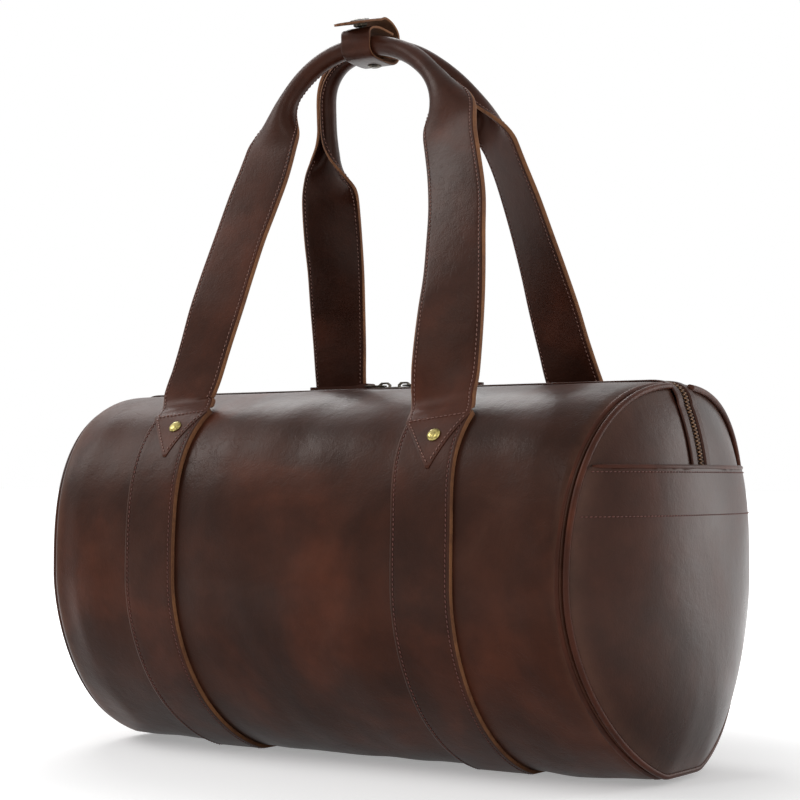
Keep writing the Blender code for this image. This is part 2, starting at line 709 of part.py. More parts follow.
def build_handle(name, front):
    """A flat two-ply leg, curled shut over its cord into the round grip, and the other leg."""
    hinge, up, out, _ = handle_frame(front)
    flat = flat_length(front)
    route = handle_route(flat)
    ends = (route[0], route[-1])
    stations = []
    for i, (x, height, path) in enumerate(route):
        before = route[max(i - 1, 0)]
        after = route[min(i + 1, len(route) - 1)]
        along = Vector((after[0] - before[0], after[1] - before[1])).normalized()
        if path == 0:
            along = Vector((0.0, math.copysign(1.0, along.y)))
        thickness = lerp(ROOT_THICKNESS, HANDLE_THICKNESS, smooth_share(path, 0.0, ROOT_SKIVE_LENGTH))
        stations.append((Vector((x, height)), along, path, thickness))
    foot = -ROOT_THICKNESS * ROOT_END_SHARE / 2
    edge = ROOT_THICKNESS * ROOT_END_SHARE
    stations.insert(0, (Vector((ends[0][0], foot)), Vector((0.0, 1.0)), 0.0, edge))
    stations.append((Vector((ends[1][0], foot)), Vector((0.0, -1.0)), 0.0, edge))
    rings = []
    for place, along, path, thickness in stations:
        width, half_turn = roll_at(path, flat)
        ring = []
        for across, outwards in curl_section(width, half_turn, thickness):
            x = place.x + along.y * across
            height = place.y - along.x * across
            ring.append(Vector((x, hinge.y, hinge.z)) + up * height + out * outwards)
        rings.append(ring)
    handle = smooth(finish(object_from_bmesh(name, loft(name, rings)), STRAP_LEATHER))
    core_radius = GRIP_RADIUS - HANDLE_THICKNESS - CORE_CLEARANCE
    rolled = flat + HANDLE_ROLL_LENGTH
    centre = [Vector((x, hinge.y, hinge.z)) + up * height for x, height, path in route if path > rolled]
    core = tube(name.replace("handle", "grip_core"), centre, core_radius)
    smooth(finish(core, CORD), math.radians(70))
    return handle


def keeper_points():
    """Middle line of the keeper in the YZ plane: the wrap's points, then the flap's."""
    half = KEEPER_THICKNESS / 2
    reach = 2 * GRIP_RADIUS + SEAT_GAP + KEEPER_SLACK / 2 + half
    back = reach + KEEPER_BACK_SLACK
    under = GRIP_RADIUS + KEEPER_SLACK + half
    over = GRIP_RADIUS + KEEPER_SNAP_HEADROOM + half
    snap, axis = snap_frame()
    along = Vector((0.0, -axis.z, axis.y))
    seat = along * (SNAP_FLANGE / 2 + KEEPER_THICKNESS)
    points = [Vector((0.0, back * 0.62, GRIP_HEIGHT + over * 0.93)), snap - seat, snap + seat]
    wrap_shares = ((-0.99, 0.30), (-1.0, -0.14), (-0.93, -0.52), (-0.62, -0.84), (0.10, -1.0), (0.62, -1.0),
                   (0.90, -0.68), (1.0, -0.12))
    for y_share, z_share in wrap_shares:
        y = y_share * (reach if y_share < 0 else back)
        z = z_share * (over if z_share > 0 else under)
        points.append(Vector((0.0, y, GRIP_HEIGHT + z)))
    flap_top = over + SNAP_PITCH
    points.append(Vector((0.0, back * 0.98, GRIP_HEIGHT + flap_top * 0.34)))
    points.append(Vector((0.0, back * 0.90, GRIP_HEIGHT + flap_top * 0.76)))
    flap_middle = snap + axis * SNAP_PITCH
    flap = [points[-1].copy(),
            Vector((0.0, back * 0.56, GRIP_HEIGHT + flap_top * 1.08)),
            Vector((0.0, back * 0.18, GRIP_HEIGHT + flap_top * 1.20)),
            flap_middle - along * (reach * 0.62),
            flap_middle,
            flap_middle + along * (SNAP_SOCKET / 2),
            Vector((0.0, -KEEPER_TIP_REACH, flap_middle.z - KEEPER_TIP_SINK))]
    return points, flap


def snap_frame():
    """Where the snap's axis crosses the wrap's middle line, and the axis."""
    over = GRIP_RADIUS + KEEPER_SNAP_HEADROOM + KEEPER_THICKNESS / 2
    place = Vector((KEEPER_X, -GRIP_Y * SNAP_Y_SHARE, GRIP_HEIGHT + over * 0.97))
    axis = Vector((0.0, -math.sin(SNAP_TILT), math.cos(SNAP_TILT)))
    return place, axis


def keeper_strip(name, points, rounded_tip=False):
    """A leather strip of the keeper's width along a line in the YZ plane."""
    rings = []
    for i, point in enumerate(points):
        before = points[max(i - 1, 0)]
        after = points[min(i + 1, len(points) - 1)]
        along = (after - before).normalized()
        side = Vector((0.0, along.z, -along.y)) * (KEEPER_THICKNESS / 2)
        half = KEEPER_WIDTH / 2
        rings.append([Vector((KEEPER_X + dx, point.y, point.z)) + side * sign
                      for dx, sign in ((-half, -1), (half, -1), (half, 1), (-half, 1))])
    bm = loft(name, rings)
    if rounded_tip:
        tip = points[-1]
        corners = [e for e in bm.edges if all((v.co - tip).length < KEEPER_WIDTH for v in e.verts)
                   and e.calc_length() < KEEPER_THICKNESS * 1.01
                   and all(abs(v.co.y - tip.y) < KEEPER_THICKNESS for v in e.verts)]
        bmesh.ops.bevel(bm, geom=corners, offset=KEEPER_WIDTH * 0.4, segments=4, profile=0.5, affect="EDGES", material=-1)
    return object_from_bmesh(name, bm)


def build_keeper():
    points, flap_points = keeper_points()
    gap = (points[-1] - points[-2]).normalized() * (KEEPER_THICKNESS / 2 + SEAT_GAP)
    wrap_points = points[:-1] + [points[-1] - gap]
    strap = keeper_strip("keeper_strap", wrap_points)
    smooth(finish(strap, STRAP_LEATHER))
    flap = keeper_strip("keeper_flap", flap_points, rounded_tip=True)
    smooth(finish(flap, STRAP_LEATHER))

    place, axis = snap_frame()
    half = KEEPER_THICKNESS / 2
    hole = SNAP_POST / 2 + SEAT_GAP
    boolean(strap, cylinder("stud_hole", hole, -half - CUT_OVERRUN, half + CUT_OVERRUN, place, axis))
    boolean(flap, cylinder("cap_hole", hole, SNAP_PITCH - half - CUT_OVERRUN, SNAP_PITCH + half + CUT_OVERRUN, place, axis))
    shelf = half + SEAT_GAP
    post_top = SNAP_PITCH - half - SEAT_GAP * 3
    stud = turned("keeper_snap_stud", (
        (0.0, post_top), (SNAP_POST / 2, post_top), (SNAP_POST / 2, shelf + SNAP_FLANGE_THICKNESS),
        (SNAP_FLANGE / 2, shelf + SNAP_FLANGE_THICKNESS), (SNAP_FLANGE / 2, shelf), (SNAP_POST / 2, shelf),
        (SNAP_POST / 2, -shelf), (SNAP_FLANGE / 2, -shelf), (SNAP_FLANGE / 2, -shelf - SNAP_FLANGE_THICKNESS),
        (0.0, -shelf - SNAP_FLANGE_THICKNESS)), place, axis)
    smooth(finish(stud, DARK_BRASS))
    socket_top = SNAP_PITCH - shelf
    socket_low = shelf + SNAP_FLANGE_THICKNESS + SEAT_GAP
    bore = SNAP_POST / 2 + SEAT_GAP
    socket = turned("keeper_snap_socket", (
        (bore, socket_top), (SNAP_SOCKET / 2, socket_top), (SNAP_SOCKET / 2, lerp(socket_top, socket_low, 0.6)),
        (SNAP_SOCKET * 0.36, socket_low), (bore, socket_low), (bore, socket_top)), place, axis)
    smooth(finish(socket, DARK_BRASS))
    seat = SNAP_PITCH + shelf
    cap = turned("keeper_snap_cap", (
        (0.0, seat + SNAP_CAP_RISE), (SNAP_CAP * 0.30, seat + SNAP_CAP_RISE * 0.92), (SNAP_CAP / 2, seat + SNAP_CAP_RISE * 0.35),
        (SNAP_CAP / 2, seat), (SNAP_POST / 2, seat), (SNAP_POST / 2, post_top + SEAT_GAP),
        (0.0, post_top + SEAT_GAP)), place, axis)
    smooth(finish(cap, DARK_BRASS))

    bottom = GRIP_HEIGHT - GRIP_RADIUS - KEEPER_SLACK - KEEPER_THICKNESS / 2
    place = Vector((KEEPER_X, GRIP_Y, bottom))
    down = Vector((0.0, 0.0, 1.0))
    bite = GRIP_HEIGHT - GRIP_RADIUS + KEEPER_RIVET_BITE - bottom
    hole = RIVET_SHANK / 2 + SEAT_GAP
    boolean(strap, cylinder("keeper_rivet_hole", hole, -half - CUT_OVERRUN, half + CUT_OVERRUN, place, down))
    boolean(bpy.data.objects["handle_rear"],
            cylinder("grip_rivet_hole", hole, 0.0, bite + SEAT_GAP, place, down))
    head = KEEPER_RIVET_HEAD / 2
    rivet = turned("keeper_rivet", (
        (0.0, bite), (RIVET_SHANK / 2, bite), (RIVET_SHANK / 2, -shelf), (head, -shelf),
        (head, -shelf - SNAP_CAP_RISE * 0.3), (head * 0.6, -shelf - SNAP_CAP_RISE), (0.0, -shelf - SNAP_CAP_RISE)), place, down)
    smooth(finish(rivet, DARK_BRASS))


def zip_route():
    """The zip's outer surface line in the XZ plane: points and outward directions, left to right."""
    corner_start = Vector((HALF_LENGTH - ZIP_CORNER, TOP_Z))
    dome_start = end_point(0.0, ZIP_CORNER_SHARE, END_STANDOFF, END_BULGE)
    corner_end = Vector((dome_start.x, dome_start.z))
    knee = Vector((corner_end.x - END_STANDOFF, TOP_Z))
    half = [Vector((0.0, TOP_Z)), Vector((STRAIGHT_END, TOP_Z))]
    for step in range(CORNER_STEPS):
        t = step / CORNER_STEPS
        half.append(corner_start * (1 - t) ** 2 + knee * (2 * t * (1 - t)) + corner_end * t ** 2)
    for step in range(DOME_STEPS + 1):
        share = lerp(ZIP_CORNER_SHARE, ZIP_END_SHARE, step / DOME_STEPS)
        point = end_point(0.0, share, END_STANDOFF, END_BULGE)
        half.append(Vector((point.x, point.z)))
    points = [Vector((-p.x, p.y)) for p in half[:0:-1]] + half
    routed = []
    for i, point in enumerate(points):
        along = (points[min(i + 1, len(points) - 1)] - points[max(i - 1, 0)]).normalized()
        routed.append((point, Vector((-along.y, along.x))))
    return routed


def ribbon(name, route, y_low, y_high, low, high):
    """A strip that follows the zip's line between two widths and two heights over it."""
    rings = []
    for point, out in route:
        base = point + out * low
        top = point + out * high
        rings.append([(base.x, y_low, base.y), (base.x, y_high, base.y), (top.x, y_high, top.y), (top.x, y_low, top.y)])
    return object_from_bmesh(name, loft(name, rings))


def build_zip():
    route = zip_route()
    inner = CHAIN_GAP / 2
    outer = SLOT_WIDTH / 2 - SEAT_GAP
    tail = [route[0]] + route + [route[-1]]
    point, out = route[-1]
    down = Vector((out.y, -out.x))
    tail[-1] = (point + down * ZIP_TAIL * 0.8, out)
    point, out = route[0]
    down = Vector((-out.y, out.x))
    tail[0] = (point + down * ZIP_TAIL * 0.8, out)
    for side, row_name in ((-1, "front"), (1, "rear")):
        y_near, y_far = sorted((side * inner, side * outer))
        tape = ribbon("zip_tape_" + row_name, tail, y_near, y_far, -TAPE_DROP - TAPE_THICKNESS, -TAPE_DROP)
        finish(tape, TAPE_CLOTH)
        y_near, y_far = sorted((side * inner, side * (inner + TEETH_WIDTH)))
        teeth = ribbon("zip_teeth_" + row_name, route, y_near, y_far, TEETH_BASE, TEETH_TOP)
        finish(teeth, DARK_BRASS)
    half = inner + TEETH_WIDTH
    point, out = route[-1]
    down = Vector((out.y, -out.x))
    start = point + down * SEAT_GAP
    end = start + down * ZIP_STOP_LENGTH
    stop = ribbon("zip_stop_right", [(start, out), (end, out)], -half, half, TEETH_BASE, TEETH_TOP)
    finish(stop, DARK_BRASS)
    finish(mirrored(stop, "zip_stop_left"), DARK_BRASS)


def pull_axis_height():
    """Height over the leather of the bar in the slider's bridge."""
    return TEETH_TOP + SEAT_GAP + PULL_PLY + LINK_WIRE / 2 + SEAT_GAP


def build_sliders():
    """Both sliders and their pulls, nose to nose in the middle of the zip."""
    half = SLIDER_LENGTH / 2
    middle = SLIDER_NOSE_GAP / 2 + half
    plate_low = TOP_Z + TEETH_TOP + SEAT_GAP
    plate_top = plate_low + SLIDER_PLATE
    tape_low = TOP_Z - TAPE_DROP - TAPE_THICKNESS - SEAT_GAP
    tape_top = TOP_Z - TAPE_DROP + SEAT_GAP
    side = SLIDER_WIDTH / 2
    nose = middle - half
    body = box("slider_right", (nose, -side, plate_low), (middle + half, side, plate_top))
    extras = [
        box("slider_base", (nose, -side, tape_low - SLIDER_PLATE), (middle + half, side, tape_low)),
        box("slider_divider", (nose, -DIVIDER_THICKNESS / 2, tape_low - SLIDER_PLATE / 2),
            (nose + DIVIDER_LENGTH, DIVIDER_THICKNESS / 2, plate_low + SLIDER_PLATE / 2)),
        box("slider_wall_front", (nose, -side, tape_top), (middle + half, SLIDER_WALL - side, plate_low + SLIDER_PLATE / 2)),
        box("slider_wall_rear", (nose, side - SLIDER_WALL, tape_top), (middle + half, side, plate_low + SLIDER_PLATE / 2)),
    ]
    crown = plate_low + SLIDER_PLATE + BRIDGE_RISE
    foot = plate_low + SLIDER_PLATE / 2
    left = middle - BRIDGE_LENGTH / 2
    right = middle + BRIDGE_LENGTH / 2
    wall = BRIDGE_WALL
    outline = [(left, foot), (left, lerp(foot, crown, 0.55)), (lerp(left, right, 0.22), crown),
               (lerp(left, right, 0.70), crown), (right, lerp(foot, crown, 0.45)), (right, foot),
               (right - wall, foot), (right - wall, lerp(foot, crown, 0.36)),
               (lerp(left, right, 0.68), crown - wall), (lerp(left, right, 0.27), crown - wall),
               (left + wall, lerp(foot, crown, 0.50)), (left + wall, foot)]
    extras.append(extruded("slider_bridge", outline, BRIDGE_WIDTH / 2))
    for extra in extras:
        boolean(body, hide_cutter(extra), "UNION")
    finish(body, DARK_BRASS)
    finish(mirrored(body, "slider_left"), DARK_BRASS)

    axis_z = TOP_Z + pull_axis_height()
    inner = LINK_INNER_WIDTH / 2
    outer = LINK_OUTER_WIDTH / 2
    end = middle + LINK_LENGTH
    link_points = [(middle, -inner, axis_z), (middle, inner, axis_z), (lerp(middle, end, 0.55), outer, axis_z),
                   (end, outer, axis_z), (end, -outer, axis_z), (lerp(middle, end, 0.55), -outer, axis_z)]
    link = tube("pull_link_right", link_points, LINK_WIRE / 2, cyclic=True)
    finish(link, DARK_BRASS)
    finish(mirrored(link, "pull_link_left"), DARK_BRASS)

    eye = LINK_WIRE / 2 + SEAT_GAP
    loop = eye + PULL_PLY
    flat_low = axis_z - loop
    flat_top = flat_low + 2 * PULL_PLY
    tip = end + PULL_LENGTH
    turn = [math.radians(a) for a in (90, 126, 162, 198, 234, 270)]
    outline = [(end + loop * math.cos(a), axis_z + loop * math.sin(a)) for a in turn]
    outline += [(tip, flat_low), (tip, flat_top), (end + 5 * loop, flat_top), (end + 2.5 * loop, axis_z + loop * 0.75)]
    bm = loft("pull", [[(x, y, z) for x, z in outline] for y in (-PULL_WIDTH / 2, PULL_WIDTH / 2)])
    corners = [e for e in bm.edges if all(abs(v.co.x - tip) < SEAT_GAP for v in e.verts)
               and abs(e.verts[0].co.y - e.verts[1].co.y) < SEAT_GAP]
    bmesh.ops.bevel(bm, geom=corners, offset=PULL_TIP_ROUND, segments=3, profile=0.5, affect="EDGES", material=-1)
    pull = object_from_bmesh("pull_tab_right", bm)
    boolean(pull, cylinder("pull_eye", eye, -PULL_WIDTH, PULL_WIDTH, Vector((end, 0.0, axis_z)), Vector((0.0, 1.0, 0.0))))
    finish(pull, STRAP_LEATHER)
    finish(mirrored(pull, "pull_tab_left"), STRAP_LEATHER)


for stale in list(bpy.data.objects):
    bpy.data.objects.remove(stale)

PARTS = new_collection("travel_bag")
CUTTERS = new_collection("cutters")

build_main_panel()
build_lining()
build_ends()
build_body_straps()
build_handle_ends()
build_handle("handle_front", True)
build_handle("handle_rear", False)
build_keeper()
build_zip()
build_sliders()
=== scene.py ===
"""Looks of the leather travel bag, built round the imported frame.

Every sheet of leather is a created grid laid on a surface function of the bag, so the pieces nest as the
frame's layers do. Stitches, teeth and edges are real meshes. Lengths are metres, angles are radians.
"""

from __future__ import annotations

import logging
import math
from dataclasses import dataclass, field
from enum import Enum
from typing import Callable, Sequence

import bmesh
import bpy
from mathutils import Matrix, Vector, noise

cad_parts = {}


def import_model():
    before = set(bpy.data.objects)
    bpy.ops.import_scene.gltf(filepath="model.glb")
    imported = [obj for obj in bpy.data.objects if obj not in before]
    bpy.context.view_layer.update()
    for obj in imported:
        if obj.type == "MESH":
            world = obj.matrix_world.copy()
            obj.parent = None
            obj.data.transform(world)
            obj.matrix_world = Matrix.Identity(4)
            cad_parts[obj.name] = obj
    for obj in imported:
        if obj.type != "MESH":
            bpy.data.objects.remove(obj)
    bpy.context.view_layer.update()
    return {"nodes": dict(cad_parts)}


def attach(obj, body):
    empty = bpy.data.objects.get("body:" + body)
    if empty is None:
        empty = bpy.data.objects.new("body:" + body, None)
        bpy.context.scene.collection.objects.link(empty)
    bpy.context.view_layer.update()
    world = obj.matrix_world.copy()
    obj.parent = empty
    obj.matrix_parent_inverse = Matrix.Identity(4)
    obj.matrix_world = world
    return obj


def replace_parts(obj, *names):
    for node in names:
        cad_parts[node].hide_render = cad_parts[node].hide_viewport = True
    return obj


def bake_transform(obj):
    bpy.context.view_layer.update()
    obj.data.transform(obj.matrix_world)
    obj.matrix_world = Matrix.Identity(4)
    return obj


LOG = logging.getLogger("travel_bag")
SEAT_GAP = 0.0003
MERGE_REACH = 0.000004
AXIS_REACH = 0.00001
SHORTEST_STEP = 1e-9

BMesh = bmesh.types.BMesh
Object = bpy.types.Object
Material = bpy.types.Material
Node = bpy.types.Node
NodeTree = bpy.types.NodeTree
Socket = bpy.types.NodeSocket
Colour = tuple[float, float, float, float]
Span = tuple[float, float]
Surface = Callable[[float, float], Vector]
Profile = Sequence[tuple[float, float]]
Trail = list[tuple[float, float]]
Route = list[tuple[Vector, Vector]]


class Side(Enum):
    """Which end of the bag a paired piece is on, as its sign along X."""

    LEFT = -1
    RIGHT = 1

    @property
    def word(self) -> str:
        """The end's name, as the nodes spell it."""
        return self.name.lower()


class Slot(Enum):
    """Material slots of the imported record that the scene's own pieces take."""

    PANEL = "panel_leather"
    STRAP = "strap_leather"
    TAPE = "zip_tape"
    BRASS = "rivet_brass"
    DARK = "dark_brass"


def lerp(start: float, end: float, share: float) -> float:
    """Returns the value at a share of the way from start to end."""
    return start + (end - start) * share


def smooth_share(value: float, start: float, end: float) -> float:
    """Returns 0 before start, 1 after end and an eased share between."""
    share = min(max((value - start) / (end - start), 0.0), 1.0)
    return share * share * (3.0 - 2.0 * share)


def steps(count: int, start: float = 0.0, end: float = 1.0) -> list[float]:
    """Returns count + 1 even values from start to end."""
    return [lerp(start, end, i / count) for i in range(count + 1)]


def bisected(low: float, high: float, holds: Callable[[float], bool], halvings: int = 30) -> float:
    """Halves a range until it closes on the place where a test stops holding.

    Args:
        low: A place where the test holds.
        high: A place where it doesn't.
        holds: The test.
        halvings: How often the range is halved.

    Returns:
        The last place at which the test held.
    """
    for _ in range(halvings):
        middle = (low + high) / 2
        low, high = (middle, high) if holds(middle) else (low, middle)
    return low


def mirrored(first: list[float], middle: list[float]) -> list[float]:
    """Returns places from 0 to 1: the first ones, the middle ones, and the first ones seen from 1."""
    return first + middle + [1.0 - place for place in reversed(first)]


def curve_at(rows: Sequence[Sequence[float]], place: float, column: int) -> float:
    """Reads a table of places and values as one smooth curve.

    Args:
        rows: Rows that start with their place, in rising order.
        place: Where the curve is read.
        column: Which value of the rows.

    Returns:
        The value, held beyond both ends.
    """
    last = len(rows) - 1
    if place <= rows[0][0] or place >= rows[last][0]:
        return rows[0 if place <= rows[0][0] else last][column]
    i = max(k for k in range(last) if rows[k][0] <= place)

    def slope(k: int) -> float:
        before, after = rows[max(k - 1, 0)], rows[min(k + 1, last)]
        return (after[column] - before[column]) / (after[0] - before[0])

    span = rows[i + 1][0] - rows[i][0]
    t = (place - rows[i][0]) / span
    start = (2 * t ** 3 - 3 * t ** 2 + 1) * rows[i][column] + (t ** 3 - 2 * t ** 2 + t) * span * slope(i)
    return start + (3 * t ** 2 - 2 * t ** 3) * rows[i + 1][column] + (t ** 3 - t ** 2) * span * slope(i + 1)


def smooth_line(points: Sequence[Vector], parts: int) -> list[Vector]:
    """Returns a rounded line through points.

    Args:
        points: The knots.
        parts: Pieces between two knots.

    Returns:
        The points of the rounded line.
    """
    line: list[Vector] = []
    last = len(points) - 1
    for i in range(last):
        p0, p1, p2, p3 = points[max(i - 1, 0)], points[i], points[i + 1], points[min(i + 2, last)]
        for k in range(parts):
            t = k / parts
            line.append(0.5 * (2 * p1 + (p2 - p0) * t + (2 * p0 - 5 * p1 + 4 * p2 - p3) * t * t
                               + (3 * p1 - p0 - 3 * p2 + p3) * t * t * t))
    line.append(points[-1].copy())
    return line


# Meshes


def object_of(bm: BMesh, name: str) -> Object:
    """Makes an object at the origin from a bmesh, and frees the bmesh.

    Args:
        bm: The finished bmesh, in the row frame.
        name: The piece's name.

    Returns:
        The linked object, shaded smooth.
    """
    mesh = bpy.data.meshes.new(name)
    bm.to_mesh(mesh)
    bm.free()
    mesh.shade_smooth()
    obj = bpy.data.objects.new(name, mesh)
    bpy.context.scene.collection.objects.link(obj)
    return obj


def laid_grid(
    us: Sequence[float],
    vs: Sequence[float],
    surface: Surface,
    edge_faces: Callable[[int, int], bool] | None = None,
    wear: Surface | None = None,
    flip: bool = False,
) -> BMesh:
    """Lays a created grid on a surface, keeping the grid's own UV map.

    Args:
        us: Parameter values of the columns.
        vs: Parameter values of the rows.
        surface: The point at (u, v).
        edge_faces: Says by column and row which faces take the second material.
        wear: The wear at (u, v), kept as an attribute for the finishes.
        flip: Turns the faces round.

    Returns:
        The bmesh, its coincident points merged.
    """
    bm = bmesh.new()
    bm.loops.layers.uv.new("UVMap")
    worn = bm.verts.layers.float.new("wear")
    columns, rows = len(us) - 1, len(vs) - 1
    bmesh.ops.create_grid(bm, x_segments=columns, y_segments=rows, size=0.5, calc_uvs=True)
    if edge_faces:
        for face in bm.faces:
            middle = face.calc_center_median()
            column, row = int((middle.x + 0.5) * columns), int((middle.y + 0.5) * rows)
            face.material_index = 1 if edge_faces(column, row) else 0
    for vert in bm.verts:
        u = us[round((vert.co.x + 0.5) * columns)]
        v = vs[round((vert.co.y + 0.5) * rows)]
        vert.co = surface(u, v)
        if wear:
            vert[worn] = wear(u, v)
    bmesh.ops.remove_doubles(bm, verts=bm.verts[:], dist=MERGE_REACH)
    if flip:
        bmesh.ops.reverse_faces(bm, faces=bm.faces[:])
    return bm


def wall(obj: Object, thickness: float, edge_slot: int = 1, inner_slot: int = 0) -> Object:
    """Gives a sheet its thickness, inwards, with its raw edge in another material slot.

    Args:
        obj: The sheet.
        thickness: The wall.
        edge_slot: How many slots further the raw edge's material lies.
        inner_slot: How many slots further the inner side's material lies.

    Returns:
        The same object.
    """
    solid = obj.modifiers.new("wall", "SOLIDIFY")
    solid.thickness = thickness
    solid.offset = -1.0
    solid.use_even_offset = True
    solid.material_offset_rim = edge_slot
    solid.material_offset = inner_slot
    return obj


def normal_at(surface: Surface, u: float, v: float) -> Vector:
    """Returns the direction across the surface at (u, v), by small steps."""
    step = 0.002
    across = surface(u + step, v) - surface(u - step, v)
    along = surface(u, v + step) - surface(u, v - step)
    return across.cross(along).normalized()


def turned(name: str, profile: Profile, place: Vector, axis: Vector, count: int = 32) -> Object:
    """Spins a profile of (radius, height) into a closed piece and stands it at a place.

    Args:
        name: The piece's name.
        profile: Points from the axis at the top to the axis at the bottom.
        place: The seat, in the row frame.
        axis: The direction of height.
        count: Steps round the axis.

    Returns:
        The piece, with its place in its mesh.
    """
    bm = bmesh.new()
    verts = [bm.verts.new((radius, 0.0, height)) for radius, height in profile]
    edges = [bm.edges.new(pair) for pair in zip(verts, verts[1:])]
    bmesh.ops.spin(
        bm, geom=verts + edges, cent=(0, 0, 0), axis=(0, 0, 1), angle=math.tau, steps=count, use_merge=True)
    bmesh.ops.remove_doubles(bm, verts=bm.verts[:], dist=AXIS_REACH)
    bmesh.ops.recalc_face_normals(bm, faces=bm.faces[:])
    turn = Vector((0, 0, 1)).rotation_difference(axis).to_matrix().to_4x4()
    bmesh.ops.transform(bm, matrix=Matrix.Translation(place) @ turn, verts=bm.verts[:])
    return object_of(bm, name)


def frame_at(point: Vector, along: Vector, normal: Vector) -> Matrix:
    """Returns a matrix that puts X along a direction and Z on a normal, at a point."""
    along = along.normalized()
    side = normal.cross(along).normalized()
    up = along.cross(side)
    rotation = Matrix((along, side, up)).transposed().to_4x4()
    return Matrix.Translation(point) @ rotation


@dataclass(frozen=True)
class Seam:
    """A row of stitches at a margin from an edge, and the groove that it draws in the leather.

    Attributes:
        pitch: From one stitch to the next.
        stitch: Length of a stitch.
        thread: Radius of the thread.
        sink: Share of the thread that lies in the leather.
        slant: How far a stitch leans to its side, as a share of its length.
        margin: From the strap's edge to the seam.
        groove: Depth of the groove.
        groove_reach: From the groove's middle to its side.
        sample: The longest step at which a trail is followed.
    """

    pitch: float = 0.0034
    stitch: float = 0.0027
    thread: float = 0.00044
    sink: float = 0.20
    slant: float = 0.14
    margin: float = 0.0030
    groove: float = 0.00028
    groove_reach: float = 0.0008
    sample: float = 0.002

    def groove_at(self, inset: float) -> float:
        """Returns the groove's depth at a distance from the strap's edge."""
        return self.groove * math.exp(-(((inset - self.margin) / self.groove_reach) ** 2))

    def sew(self, bm: BMesh, surface: Surface, trail: Trail, toward: Vector) -> int:
        """Adds stitches along a trail of (u, v) on a surface.

        Args:
            bm: The bmesh that takes the stitches.
            surface: The leather's outer face.
            trail: The seam's line, as parameter points.
            toward: A direction that the leather's outer face looks at, where the trail starts.

        Returns:
            How many stitches were sewn.
        """
        fine: list[tuple[float, float, Vector]] = []
        for (u0, v0), (u1, v1) in zip(trail, trail[1:]):
            span = (surface(u1, v1) - surface(u0, v0)).length
            parts = max(2, int(span / self.sample))
            for k in range(parts):
                u, v = lerp(u0, u1, k / parts), lerp(v0, v1, k / parts)
                fine.append((u, v, surface(u, v)))
        u, v = trail[-1]
        fine.append((u, v, surface(u, v)))
        out = 1.0 if normal_at(surface, *trail[0]).dot(toward) > 0 else -1.0
        travelled, target, sewn = 0.0, self.pitch / 2, 0
        for (_, _, p0), (u, v, p1) in zip(fine, fine[1:]):
            length = (p1 - p0).length
            if length < SHORTEST_STEP:
                continue
            while travelled + length >= target:
                point = p0.lerp(p1, (target - travelled) / length)
                normal = normal_at(surface, u, v) * out
                step = p1 - p0
                lean = step.normalized() + normal.cross(step).normalized() * self.slant
                size = Matrix.Diagonal((self.stitch / 2, self.thread, self.thread, 1.0))
                place = frame_at(point + normal * self.thread * (1.0 - self.sink), lean, normal)
                bmesh.ops.create_icosphere(bm, subdivisions=1, radius=1.0, matrix=place @ size)
                target += self.pitch
                sewn += 1
            travelled += length
        return sewn


def tube(points: Sequence[Vector], radius: Callable[[float], float], sides: int) -> BMesh:
    """Makes a round cord along points, with closed ends.

    Args:
        points: The centre line.
        radius: The radius at a share of the way along.
        sides: Faces round the cord.

    Returns:
        The bmesh of the cord.
    """
    last = len(points) - 1
    tangents = []
    for i in range(last + 1):
        tangents.append((points[min(i + 1, last)] - points[max(i - 1, 0)]).normalized())
    side = tangents[0].orthogonal().normalized()
    sides_at = []
    for tangent in tangents:
        side = (side - tangent * side.dot(tangent)).normalized()
        sides_at.append(side.copy())

    def surface(u: float, v: float) -> Vector:
        i = round(v * last)
        up = tangents[i].cross(sides_at[i])
        turn = math.tau * u
        return points[i] + (sides_at[i] * math.cos(turn) + up * math.sin(turn)) * radius(v)

    bm = laid_grid(steps(sides), steps(last), surface)
    bmesh.ops.holes_fill(bm, edges=[edge for edge in bm.edges if edge.is_boundary], sides=0)
    bmesh.ops.recalc_face_normals(bm, faces=bm.faces[:])
    return bm


# Finishes


